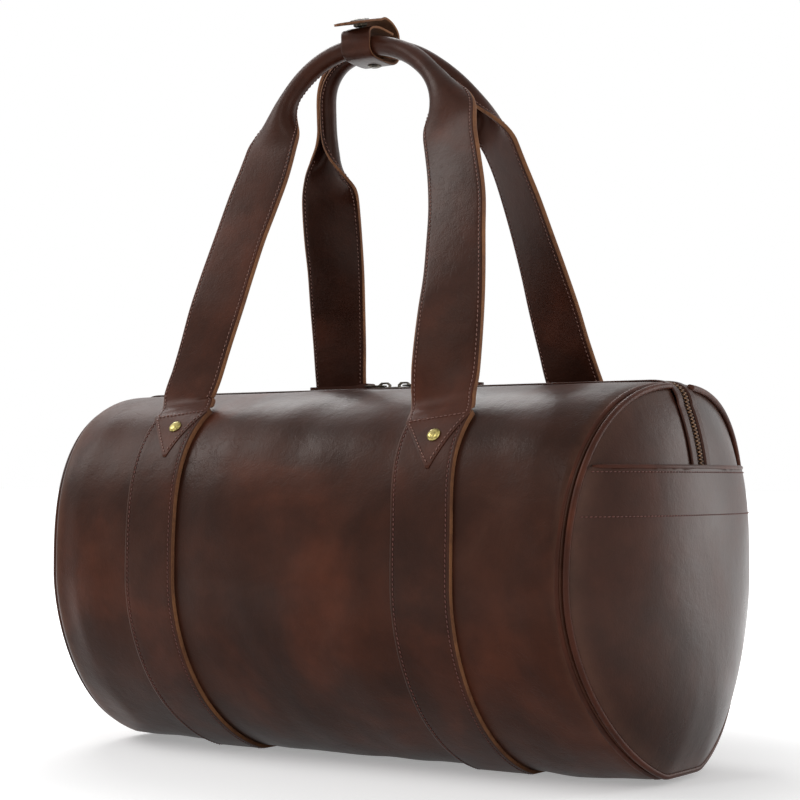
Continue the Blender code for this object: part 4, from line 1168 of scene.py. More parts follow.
@dataclass
class BodyStraps:
    """The two straps that run round the barrel, sewn down through both margins.

    Attributes:
        above_root: How far a strap's ends run on above the handles' roots.
        crown: How much lower the edges lie than the face.
        swell: How much higher the strap stands where it leaves the flat underside.
        slant: How far the foot of the raw edge stands out.
        foot: Height of the edge's foot above the barrel.
        rim_share: The raw edge's part of the grid, as a share of the width.
    """

    barrel: Barrel
    finishes: Finishes
    ply: float = 0.0009
    above_root: float = 0.006
    crown: float = 0.0005
    crown_span: Span = (-0.0002, 0.0012)
    swell: float = 0.0008
    swell_span: Span = (-0.92, -0.6)
    slant: float = 0.0003
    foot: float = 0.0002
    rim_share: float = 0.05
    edge_wear: float = 0.25
    edge_wear_reach: float = 0.05
    seam_span: Span = (0.004, 0.996)
    seam: Seam = field(default_factory=Seam)

    def surface(self, index: int) -> Surface:
        """Returns the outer face of one strap."""
        bag = self.barrel
        ends = [math.radians(LEGS[(front, tuple(Side)[index])].root) for front in (True, False)]
        first, last = [end - self.above_root / (bag.height / 2) for end in ends]
        width = bag.strap_widths[index]

        def face(u: float, v: float) -> Vector:
            angle = lerp(first, math.tau - last, v)
            down = min(max(-u, u - 1.0, 0.0) / self.rim_share, 1.0)
            u = min(max(u, 0.0), 1.0)
            edge = min(u, 1.0 - u) * width
            rounding = self.crown * (1.0 - smooth_share(edge, *self.crown_span))
            rise = bag.strap_top + self.swell * smooth_share(math.cos(angle), *self.swell_span)
            y, z = bag.section(angle, lerp(rise - rounding - self.seam.groove_at(edge), self.foot, down))
            beyond = math.copysign(self.slant * down, u - 0.5)
            return Vector((bag.strap_middle(index, angle) + (u - 0.5) * width + beyond, y, z))

        return face

    def wear(self, u: float, _: float) -> float:
        """Returns how rubbed the strap is, most at its edges."""
        return self.edge_wear * (1.0 - smooth_share(min(u, 1 - u), 0.0, self.edge_wear_reach))

    def build(self) -> None:
        """Makes both straps and their stitches."""
        rim = [self.rim_share * share for share in (-1.0, -0.8, -0.5, -0.2)]
        edges = [0.0, 0.008, 0.016, 0.028, 0.044, 0.056, 0.064, 0.072, 0.084, 0.10]
        us = mirrored(rim + edges, steps(10, 0.16, 0.84))
        raw = set(range(len(rim))) | set(range(len(us) - 1 - len(rim), len(us) - 1))
        for index, side in enumerate(Side):
            face = self.surface(index)
            bm = laid_grid(us, steps(200), face, lambda i, _: i in raw, self.wear, flip=True)
            strap = wall(object_of(bm, "body_strap_leather_" + side.word), self.ply, 0)
            self.finishes.dress(strap, Slot.STRAP, "strap_hide", "raw_edge")
            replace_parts(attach(strap, "bag"), "body_strap_" + side.word)
            threads = bmesh.new()
            inset = self.seam.margin / self.barrel.strap_widths[index]
            for u in (inset, 1.0 - inset):
                self.seam.sew(threads, face, [(u, v) for v in steps(90, *self.seam_span)], Vector((0, -1, 1)))
            stitches = object_of(threads, "body_strap_stitches_" + side.word)
            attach(self.finishes.dress(stitches, Slot.STRAP, "red_thread"), "bag")
            LOG.info("%s body strap done", side.word)


@dataclass(frozen=True)
class Leg:
    """How one leg of a handle hangs.

    Attributes:
        middle: Place of the root along the bag.
        width: Width of the flat strap.
        root: Angle of the root on the barrel, in degrees from the top.
        rivet: Angle of the rivet, likewise.
        flat: Length from the root at which the strap starts to roll.
        roll: Length over which it rolls shut.
        pose: Height, drift along the bag and twist in degrees, from the root to the grip.
    """

    middle: float
    width: float
    root: float
    rivet: float
    flat: float
    roll: float
    pose: tuple[tuple[float, float, float], ...]


LEGS = {
    (True, Side.LEFT): Leg(-0.1275, 0.0465, 39.6, 45.6, 0.226, 0.056, (
        (0.0, -0.0092, 0.0), (0.020, -0.0062, 4.0), (0.037, -0.0038, 6.0), (0.060, -0.0027, 6.0),
        (0.090, -0.0024, 8.0), (0.120, -0.0034, 6.6), (0.151, -0.0038, 5.0), (0.181, -0.0026, 6.5),
        (0.205, -0.0006, 5.0), (0.235, 0.0004, 0.0), (0.262, 0.0, 0.0))),
    (True, Side.RIGHT): Leg(0.1118, 0.0490, 43.3, 49.9, 0.226, 0.066, (
        (0.0, 0.0005, 0.0), (0.018, -0.0018, 14.0), (0.035, -0.0016, 17.0), (0.055, -0.0009, 16.5),
        (0.079, 0.0001, 11.3), (0.107, 0.0012, 2.6), (0.135, 0.0011, -2.2), (0.164, 0.0010, -5.0),
        (0.194, -0.0018, -10.0), (0.215, -0.0040, -11.0), (0.240, -0.0046, -5.0), (0.264, -0.0042, 0.0),
        (0.286, -0.0030, 0.0), (0.306, 0.0, 0.0))),
    (False, Side.LEFT): Leg(-0.1255, 0.0480, 42.7, 49.2, 0.200, 0.056, (
        (0.0, 0.0, 0.0), (0.045, -0.0008, 3.0), (0.070, -0.0001, 7.0), (0.101, 0.0003, 12.0),
        (0.132, 0.0010, 16.0), (0.162, 0.0008, 21.0), (0.190, 0.0016, 17.0), (0.207, 0.0036, 4.0),
        (0.222, 0.0060, -12.0), (0.240, 0.0084, -26.0), (0.262, 0.0080, -32.0), (0.285, 0.0030, -32.0),
        (0.302, 0.0, -32.0))),
    (False, Side.RIGHT): Leg(0.1110, 0.0480, 42.7, 49.2, 0.222, 0.050, (
        (0.0, -0.0055, 0.0), (0.038, -0.0080, 0.0), (0.062, -0.0076, -4.6), (0.091, -0.0063, -8.3),
        (0.120, -0.0052, -14.7), (0.149, -0.0047, -20.0), (0.178, -0.0042, -23.7), (0.206, -0.0042, -27.0),
        (0.230, -0.0046, -25.0), (0.262, -0.0058, -16.0), (0.288, -0.0050, -16.0), (0.306, 0.0, -16.0))),
}


@dataclass(frozen=True)
class Grips:
    """Where the two rolled grips lie side by side, and how thick they are."""

    y: float = 0.0078
    height: float = 0.547
    diameter: float = 0.0150


@dataclass(frozen=True)
class Station:
    """The strip's section at one place of its run: where it lies, and half its curl."""

    centre: Vector
    across: Vector
    convex: Vector
    rows: list[tuple[float, float, float]]
    shift: float
    ply: float
    width: float
    closing: float


@dataclass
class Handles:
    """Both handles, each one strip from its left pointed end over the grip to its right pointed end.

    Attributes:
        lean: How far the grips lean to the left, with where it starts and how late it sets in.
        hinge_base: Height of the hinge line above the barrel.
        tab_base: Height of the sewn end's face above the barrel.
        tip_shift: How far the tip of a front end stands aside.
        root_lean: How far a front root leans to the left, for its height.
        knee: Length over the root at which the strip leaves the barrel, with half the bend's length.
        arc_share: Share of the closed section that is round.
        face_share: Share of the skin's columns on each face, where edge_share is on each raw edge.
        row: How far the cross row of stitches lies below the root.
        knee_rows: The part of the run that has the closest rows.
        aim_reaches: Steps before and after a place that give its direction, long at the root.
        slant: How far the raw edge leans, so that it shows beside the face.
    """

    barrel: Barrel
    finishes: Finishes
    grips: Grips
    spacing: float = 0.242
    straps_middle: float = -0.0045
    hinge_angle: float = math.radians(42.7)
    arc_radius: float = 0.085
    lean: float = 0.0205
    lean_start: float = 0.117
    lean_power: float = 2.8
    ply: float = 0.0040
    hinge_ply: float = 0.0016
    end_ply: float = 0.0005
    ply_start: float = 0.001
    ply_run: float = 0.007
    end_gap: float = 0.0006
    hinge_base: float = 0.0036
    tab_base: float = 0.0042
    tip_shift: float = 0.0060
    root_lean: float = 0.34
    knee: float = 0.013
    bend: float = 0.008
    knee_lean: float = 0.68
    freed_run: float = 0.030
    root_fade: float = 0.10
    tab_length: float = 0.0400
    tab_shoulder: float = 0.0030
    tip: float = 0.0010
    tip_gap: float = 0.0042
    shoulder_gap: float = 0.0006
    arm_inset: float = 0.0026
    outer_seam_below: float = 0.001
    inner_seam_start: float = 0.004
    row: float = 0.0018
    row_reach_share: float = 0.88
    knee_rows: Span = (-0.004, 0.022)
    aim_reaches: Span = (0.010, 0.0008)
    aim_span: Span = (0.03, 0.08)
    arc_share: float = 0.80
    crown: float = 0.0007
    rounding_share: float = 0.12
    rounding_reach: float = 0.0012
    slant: float = 0.0006
    slant_reach: float = 0.003
    parts: int = 28
    face_share: float = 0.46
    edge_share: float = 0.04
    blend_start: float = 0.003
    blend_end: float = 0.028
    rivet_shift: float = 0.0040
    rivet_radius: float = 0.0052
    seam: Seam = field(default_factory=Seam)
    turn: float = field(init=False)
    rolled: float = field(init=False)

    def __post_init__(self) -> None:
        """Works out how far the strap turns before its edges meet."""
        low, high = math.radians(110), math.radians(175)
        for _ in range(30):
            self.turn = (low + high) / 2
            self.rolled = (self.grips.diameter - self.ply) * self.turn / self.arc_share
            reach = self.profile(self.rolled, 1.0)[-1][1]
            low, high = (low, self.turn) if reach < (self.ply + self.end_gap) / 2 else (self.turn, high)

    def closed_turn(self, place: float) -> float:
        """Returns the closed section's direction at a place from its middle, 0, to its edge, 1."""
        if place < self.arc_share:
            return self.turn * place / self.arc_share
        return lerp(self.turn, math.pi / 2, smooth_share(place, self.arc_share, 1.0))

    def profile(self, width: float, closing: float) -> list[tuple[float, float, float]]:
        """Follows half of the curled strap from its middle to its edge.

        Args:
            width: The strap's width.
            closing: 0 for flat, 1 for shut.

        Returns:
            Direction, across and outward at even steps.
        """
        rows = [(0.0, 0.0, 0.0)]
        step = width / 2 / self.parts
        for k in range(self.parts):
            turn = closing * self.closed_turn((k + 0.5) / self.parts)
            after = closing * self.closed_turn((k + 1) / self.parts)
            _, across, outward = rows[-1]
            rows.append((after, across + step * math.cos(turn), outward - step * math.sin(turn)))
        return rows

    def frame(self, front: bool) -> tuple[Vector, Vector, Vector, float]:
        """Returns hinge, direction up, outward side and length to the grip of a handle."""
        side = -1.0 if front else 1.0
        y, z = self.barrel.section(self.hinge_angle, self.hinge_base + self.hinge_ply / 2)
        hinge = Vector((0.0, side * abs(y), z))
        rise = Vector((0.0, side * self.grips.y, self.grips.height)) - hinge
        up = rise.normalized()
        out = Vector((0.0, -up.z, up.y)) if front else Vector((0.0, up.z, -up.y))
        return hinge, up, out, rise.length

    def half_run(self, length: float) -> tuple[float, float, float]:
        """Returns slope, straight length and half the run from hinge to hinge."""
        root, arc_centre = self.spacing / 2, length - self.arc_radius
        distance = math.hypot(root, arc_centre)
        slope = math.atan2(root, arc_centre) - math.asin(self.arc_radius / distance)
        straight = math.sqrt(distance ** 2 - self.arc_radius ** 2)
        return slope, straight, straight + self.arc_radius * (math.pi / 2 - slope)

    def on_barrel(self, leg: Leg, front: bool, path: float) -> Vector:
        """Returns the centre of the sewn end: path 0 is its root, and it runs down below."""
        bag = self.barrel
        level = self.tab_base + self.end_ply - self.ply_at(path) / 2
        y, z = bag.section(math.radians(leg.root) - path / (bag.height / 2 + self.tab_base), level)
        shift = self.tip_shift * max(-path, 0.0) / self.tab_length - self.root_lean * max(path, 0.0)
        return Vector((leg.middle + (shift if front else 0.0), y if front else -y, z))

    def ply_at(self, path: float) -> float:
        """Returns the strip's thickness: thin over the body strap, full above its end."""
        return lerp(self.end_ply, self.ply, smooth_share(path, self.ply_start, self.ply_run))

    def on_leg(self, front: bool, side: Side, path: float) -> Vector:
        """Returns the centre of the free leg or grip at a path length from its root."""
        hinge, up, _, length = self.frame(front)
        slope, straight, _ = self.half_run(length)
        leg = LEGS[(front, side)]
        if path < straight:
            x, height = self.spacing / 2 - path * math.sin(slope), path * math.cos(slope)
        else:
            turn = slope + (path - straight) / self.arc_radius
            x = self.arc_radius * math.cos(turn)
            height = length - self.arc_radius + self.arc_radius * math.sin(turn)
        leaning = max(0.0, (height - self.lean_start) / (length - self.lean_start)) ** self.lean_power
        x = side.value * x + self.straps_middle - self.lean * leaning + curve_at(leg.pose, height, 1)
        away = self.on_barrel(leg, front, self.knee) - hinge - up * self.knee
        away.x = -self.knee_lean * (away.y - (self.on_barrel(leg, front, 0.0) - hinge).y)
        point = Vector((x, hinge.y, hinge.z)) + up * height
        return point + away * (1.0 - smooth_share(path, 0.0, self.root_fade))

    def middle(self, front: bool, run: float) -> Vector:
        """Returns the strip's centre line: run 0 is its left root, with the left end below it."""
        half = self.half_run(self.frame(front)[3])[2]
        side = Side.LEFT if run < half else Side.RIGHT
        path = min(run, 2 * half - run)
        leg = LEGS[(front, side)]
        start, end = self.knee - self.bend, self.knee + self.bend
        if path <= start:
            return self.on_barrel(leg, front, path)
        if path >= end:
            return self.on_leg(front, side, path)
        share = (path - start) / (end - start)
        low, high = self.on_barrel(leg, front, start), self.on_leg(front, side, end)
        knee = self.on_barrel(leg, front, self.knee)
        return low * (1 - share) ** 2 + knee * (2 * share * (1 - share)) + high * share ** 2

    def half_width(self, leg: Leg, path: float, closing: float) -> float:
        """Returns half the strap's width, narrowing to the pointed end and into the grip."""
        if path < -self.tab_shoulder:
            share = (-path - self.tab_shoulder) / (self.tab_length - self.tab_shoulder)
            return lerp(leg.width / 2, self.tip, min(share, 1.0))
        return lerp(leg.width, self.rolled, closing) / 2

    def station(self, front: bool, run: float) -> Station:
        """Works out the strip's section at one place of its run.

        Args:
            front: Which handle.
            run: Metres from the left root.

        Returns:
            The section.
        """
        hinge, up, out, length = self.frame(front)
        half = self.half_run(length)[2]
        side = Side.LEFT if run < half else Side.RIGHT
        path = min(run, 2 * half - run)
        leg = LEGS[(front, side)]
        reach = lerp(*self.aim_reaches, smooth_share(path, *self.aim_span))
        centre = self.middle(front, run)
        along = (self.middle(front, run + reach) - self.middle(front, run - reach)).normalized()
        freed = smooth_share(path, self.knee - self.bend, self.knee + self.freed_run)
        level = Vector((-float(side.value), 0.0, 0.0))
        level = (level - along * level.dot(along)).normalized()
        across = level.lerp(along.cross(out if front else -out).normalized(), freed).normalized()
        normal = across.cross(along).normalized()
        twist = -side.value * math.radians(curve_at(leg.pose, (centre - hinge).dot(up), 2)) * freed
        closing = smooth_share(path, leg.flat, leg.flat + leg.roll)
        width = 2 * self.half_width(leg, path, closing)
        rows = self.profile(width, closing)
        mean = sum(row[2] for row in rows) / len(rows)
        shift = lerp(mean, (self.ply - self.grips.diameter) / 2, closing)
        turned_across = across * math.cos(twist) - normal * math.sin(twist)
        convex = (normal * math.cos(twist) + across * math.sin(twist)) * (1.0 if front else -1.0)
        return Station(centre, turned_across, convex, rows, shift, self.ply_at(path), width, closing)

    def lap(self, u: float) -> tuple[float, float, float]:
        """Splits a place round the section.

        Args:
            u: The place, from one edge over the convex face and back under.

        Returns:
            The place across from -1 to 1, the layer, which is 1 for the convex face and -1 for the other,
            and how far the raw edge swells there.
        """
        u %= 1.0
        back = u >= 0.5
        u -= 0.5 if back else 0.0
        sign = -1.0 if back else 1.0
        if u < self.face_share:
            return sign * (2 * u / self.face_share - 1.0), sign, 0.0
        layer = 1.0 - 2 * (u - self.face_share) / self.edge_share
        return sign, sign * layer, 1.0 - layer * layer

    def skin(self, front: bool) -> Surface:
        """Returns the strip's whole skin: u once round the section, v the run in metres."""
        narrow = -1.0 if front else 1.0
        kept: dict[int, Station] = {}

        def face(u: float, v: float) -> Vector:
            key = round(v * 1e6)
            if key not in kept:
                kept[key] = self.station(front, v)
            at = kept[key]
            place, layer, swell = self.lap(u)
            spot = abs(place) * self.parts
            k = min(int(spot), self.parts - 1)
            turn, side, outward = (lerp(a, b, spot - k) for a, b in zip(at.rows[k], at.rows[k + 1]))
            inset = (1.0 - abs(place)) * at.width / 2
            edge = 1.0 - smooth_share(inset, 0.0, self.rounding_reach)
            thick = at.ply / 2 - self.rounding_share * at.ply * edge * (1.0 - swell)
            full = smooth_share(at.ply, self.end_ply, self.ply)
            thick += self.crown * (1.0 - place * place) * (1.0 - at.closing) * full
            if at.ply > 2 * self.seam.groove:
                thick -= self.seam.groove_at(inset)
            slant = self.slant * (1.0 - smooth_share(inset, 0.0, self.slant_reach))
            slant *= min(at.ply / self.ply, 1.0)
            reach = swell * at.ply * self.rounding_share + narrow * layer * slant
            side += math.sin(turn) * thick * layer + math.cos(turn) * reach
            outward += math.cos(turn) * thick * layer - math.sin(turn) * reach
            return at.centre + at.across * math.copysign(side, place) + at.convex * (outward - at.shift)

        return face

    def columns(self) -> tuple[list[float], set[int]]:
        """Returns the skin's u values, fine at the stitch lines, and the columns of its raw edges."""
        near = [0.0, 0.16, 0.32, 0.48, 0.62, 0.73, 0.80, 0.835, 0.86, 0.885, 0.91, 0.94, 0.965, 0.985, 1.0]
        across = [-value for value in reversed(near)] + near[1:]
        first = [self.face_share * (value + 1) / 2 for value in across]
        turn = [self.face_share + self.edge_share * value for value in (0.15, 0.35, 0.5, 0.65, 0.85)]
        half = first + turn
        us = half + [0.5 + value for value in half] + [1.0]
        count = len(half)
        edges = set(range(len(first) - 1, count)) | set(range(count + len(first) - 1, 2 * count))
        return us, edges

    def spot(self, place: float, outer: bool) -> float:
        """Returns the skin's u at a place across, on the convex face or on the other."""
        if outer:
            return self.face_share * (place + 1) / 2
        return 0.5 + self.face_share * (1 - place) / 2

    def trails(self, front: bool, half: float) -> list[tuple[Trail, bool]]:
        """Returns every stitch line of one handle, and whether it is on the convex face."""
        lines: list[tuple[Trail, bool]] = []
        for side in Side:
            leg = LEGS[(front, side)]

            def run(path: float) -> float:
                return path if side is Side.LEFT else 2 * half - path

            inset = 1.0 - self.seam.margin / (leg.width / 2)
            outer_paths = steps(90, -self.outer_seam_below, half)
            inner_paths = steps(60, self.inner_seam_start, leg.flat + leg.roll / 2)
            arm_paths = steps(16, -self.tab_shoulder - self.shoulder_gap, self.tip_gap - self.tab_length)
            for edge in (-1.0, 1.0):
                for paths, outer in ((outer_paths, True), (inner_paths, False)):
                    lines.append(([(self.spot(edge * inset, outer), run(path)) for path in paths], outer))
                arm = []
                for path in arm_paths:
                    width = self.half_width(leg, path, 0.0)
                    place = edge * max(width - self.arm_inset, 0.0) / width
                    arm.append((self.spot(place, True), run(path)))
                lines.append((arm, True))
            row = steps(10, -self.row_reach_share, self.row_reach_share)
            lines.append(([(self.spot(place, True), run(-self.row)) for place in row], True))
        return lines

    def runs(self, half: float) -> list[float]:
        """Returns the skin's v values, fine round the knees."""
        low, high = self.knee_rows
        runs = steps(16, -self.tab_length, low) + steps(18, low, high)[1:] + steps(105, high, half)[1:]
        return runs + [2 * half - run for run in reversed(runs[:-1])]

    def build_handle(self, front: bool) -> None:
        """Makes one handle with its stitches."""
        word = "front" if front else "rear"
        hinge, up, out, length = self.frame(front)
        half = self.half_run(length)[2]
        face = self.skin(front)
        us, edges = self.columns()
        runs = self.runs(half)
        tab_rows = sum(1 for run in runs if run < -self.tab_shoulder)
        last = len(runs) - 1 - tab_rows
        bm = laid_grid(us, runs, face, lambda i, j: i in edges and tab_rows <= j < last)
        bmesh.ops.holes_fill(bm, edges=[e for e in bm.edges if e.is_boundary], sides=0)
        bmesh.ops.recalc_face_normals(bm, faces=bm.faces[:])
        handle = object_of(bm, "handle_leather_" + word)
        self.finishes.dress(handle, Slot.STRAP, "grip_hide", "raw_edge")
        ends = ["handle_end_" + word + "_" + side.word for side in Side]
        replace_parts(handle, "handle_" + word, *ends)
        threads = bmesh.new()
        sewn = 0
        for trail, outer in self.trails(front, half):
            sewn += self.seam.sew(threads, face, trail, out if outer else -out)
        stitches = self.finishes.dress(object_of(threads, "handle_stitches_" + word), Slot.STRAP, "thread")
        start, end = hinge + up * self.blend_start, hinge + up * self.blend_end
        for piece in (handle, stitches):
            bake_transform(piece)
            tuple(start)
            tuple(end)
        LOG.info("%s handle: %d faces, %d stitches", word, len(handle.data.polygons), sewn)

    def build_rivet(self, front: bool, side: Side) -> None:
        """Makes one domed rivet head on its sewn end."""
        leg = LEGS[(front, side)]
        angle = math.radians(leg.rivet)
        level = self.tab_base + self.end_ply
        step = 0.02
        here, after = self.barrel.section(angle, level), self.barrel.section(angle + step, level)
        axis = Vector((0.0, after[1] - here[1], here[0] - after[0])).normalized()
        axis = axis if axis.z > 0 else -axis
        place = Vector((leg.middle + (self.rivet_shift if front else 0.0), *here))
        if not front:
            place.y, axis.y = -place.y, -axis.y
        dome = ((0.0, 0.0021), (0.25, 0.00205), (0.48, 0.0019), (0.68, 0.0016), (0.84, 0.0012),
                (0.95, 0.0007), (1.0, 0.0002), (0.99, 0.0), (0.93, -0.0002), (0.0, -0.0002))
        profile = [(self.rivet_radius * share, height) for share, height in dome]
        label = ("front_" if front else "rear_") + side.word
        rivet = turned("rivet_head_" + label, profile, place + axis * SEAT_GAP, axis)
        self.finishes.dress(rivet, Slot.BRASS, "antique_brass")
        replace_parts(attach(rivet, "bag"), "rivet_" + label)

    def build(self) -> None:
        """Makes both handles and their rivets."""
        for front in (True, False):
            self.build_handle(front)
            for side in Side:
                self.build_rivet(front, side)


@dataclass
class Keeper:
    """The leather loop that wraps both grips, as its frame piece runs, with a tan inside.

    Attributes:
        slack: Room between the loop and the grips, with more at the back and above.
        place_x: The loop's middle along the bag.
        snap_tilt: Lean of the snap to the front, with its parts' sizes and pitch above the wrap.
        tip_reach: How far the flap's tip stands out in front, with how far it hangs.
        corner: Radius of the tip's corners.
        snap_y_share: Place of the snap across the grips, with its height on the loop's top.
        inner_end_shares: Where the wrap's inner end lies, back and above.
        flap_share: How far behind the snap the flap comes down on it, as a share of the loop's reach.
    """

    finishes: Finishes
    grips: Grips
    width: float = 0.027
    ply: float = 0.0020
    wall_ply: float = 0.0018
    slack: float = 0.0030
    back_slack: float = 0.0055
    headroom: float = 0.0042
    place_x: float = -0.0245
    snap_tilt: float = math.radians(14)
    snap_y_share: float = 1.35
    snap_z_share: float = 0.97
    inner_end_shares: Span = (0.62, 0.93)
    flap_share: float = 0.62
    snap_flange: float = 0.0080
    snap_socket: float = 0.0110
    snap_pitch: float = 0.0062
    tip_reach: float = 0.035
    tip_sink: float = 0.0060
    corner: float = 0.0108
    rounding: float = 0.0003
    rounding_reach: float = 0.0010

    def line(self) -> list[Vector]:
        """Returns the keeper's middle line, inner end first, smoothed."""
        half, radius = self.ply / 2, self.grips.diameter / 2
        reach = 2 * radius + SEAT_GAP + self.slack / 2 + half
        back = reach + self.back_slack
        under = radius + self.slack + half
        over = radius + self.headroom + half
        snap = Vector((0.0, -self.grips.y * self.snap_y_share, over * self.snap_z_share))
        axis = Vector((0.0, -math.sin(self.snap_tilt), math.cos(self.snap_tilt)))
        along = Vector((0.0, -axis.z, axis.y))
        seat = along * (self.snap_flange / 2 + self.ply)
        y_share, z_share = self.inner_end_shares
        knots = [Vector((0.0, back * y_share, over * z_share)), snap - seat, snap + seat]
        wrap_shares = ((-0.99, 0.30), (-1.0, -0.14), (-0.93, -0.52), (-0.62, -0.84),
                       (0.10, -1.0), (0.62, -1.0), (0.90, -0.68), (1.0, -0.12))
        for y, z in wrap_shares:
            knots.append(Vector((0.0, y * (reach if y < 0 else back), z * (over if z > 0 else under))))
        top = over + self.snap_pitch
        middle = snap + axis * self.snap_pitch
        over_shares = ((0.98, 0.34), (0.90, 0.76), (0.56, 1.08), (0.18, 1.20))
        knots += [Vector((0.0, back * y, top * z)) for y, z in over_shares]
        knots += [middle - along * (reach * self.flap_share), middle, middle + along * (self.snap_socket / 2)]
        knots.append(Vector((0.0, -self.tip_reach, middle.z - self.tip_sink)))
        return smooth_line([Vector((0.0, knot.y, knot.z + self.grips.height)) for knot in knots], 8)

    def build(self) -> None:
        """Makes the loop, its round-cornered tip last."""
        line = self.line()
        lengths = [0.0]
        for before, after in zip(line, line[1:]):
            lengths.append(lengths[-1] + (after - before).length)
        total = lengths[-1]

        def face(u: float, v: float) -> Vector:
            run = min(max(v, 0.0), 1.0) * total
            i = min(sum(1 for value in lengths[1:] if value < run), len(line) - 2)
            share = (run - lengths[i]) / (lengths[i + 1] - lengths[i])
            point = line[i].lerp(line[i + 1], share)
            before, after = line[max(i - 1, 0)], line[min(i + 2, len(line) - 1)]
            along = (after - before).normalized()
            side = Vector((0.0, along.z, -along.y))
            from_tip, half = total - run, self.width / 2
            if from_tip < self.corner:
                half -= self.corner - math.sqrt(max(self.corner ** 2 - (self.corner - from_tip) ** 2, 0.0))
            edge = 1.0 - smooth_share(min(u, 1 - u) * 2 * half, 0.0, self.rounding_reach)
            aside = Vector((self.place_x + (2 * u - 1) * half, 0.0, 0.0))
            return point + side * (self.ply / 2 - self.rounding * edge) + aside

        tip = [0.94, 0.95, 0.96, 0.97, 0.978, 0.984, 0.989, 0.993, 0.996, 0.998, 0.9992, 1.0]
        us = [0.0, 0.012, 0.03, 0.06] + steps(10, 0.12, 0.88) + [0.94, 0.97, 0.988, 1.0]
        bm = laid_grid(us, steps(130, 0.0, 0.93) + tip, face, flip=True)
        loop = wall(object_of(bm, "keeper_leather"), self.wall_ply, inner_slot=2)
        self.finishes.dress(loop, Slot.STRAP, "keeper_hide", "raw_edge", "flesh_side")
        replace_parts(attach(loop, "handle_rear"), "keeper_strap", "keeper_flap")


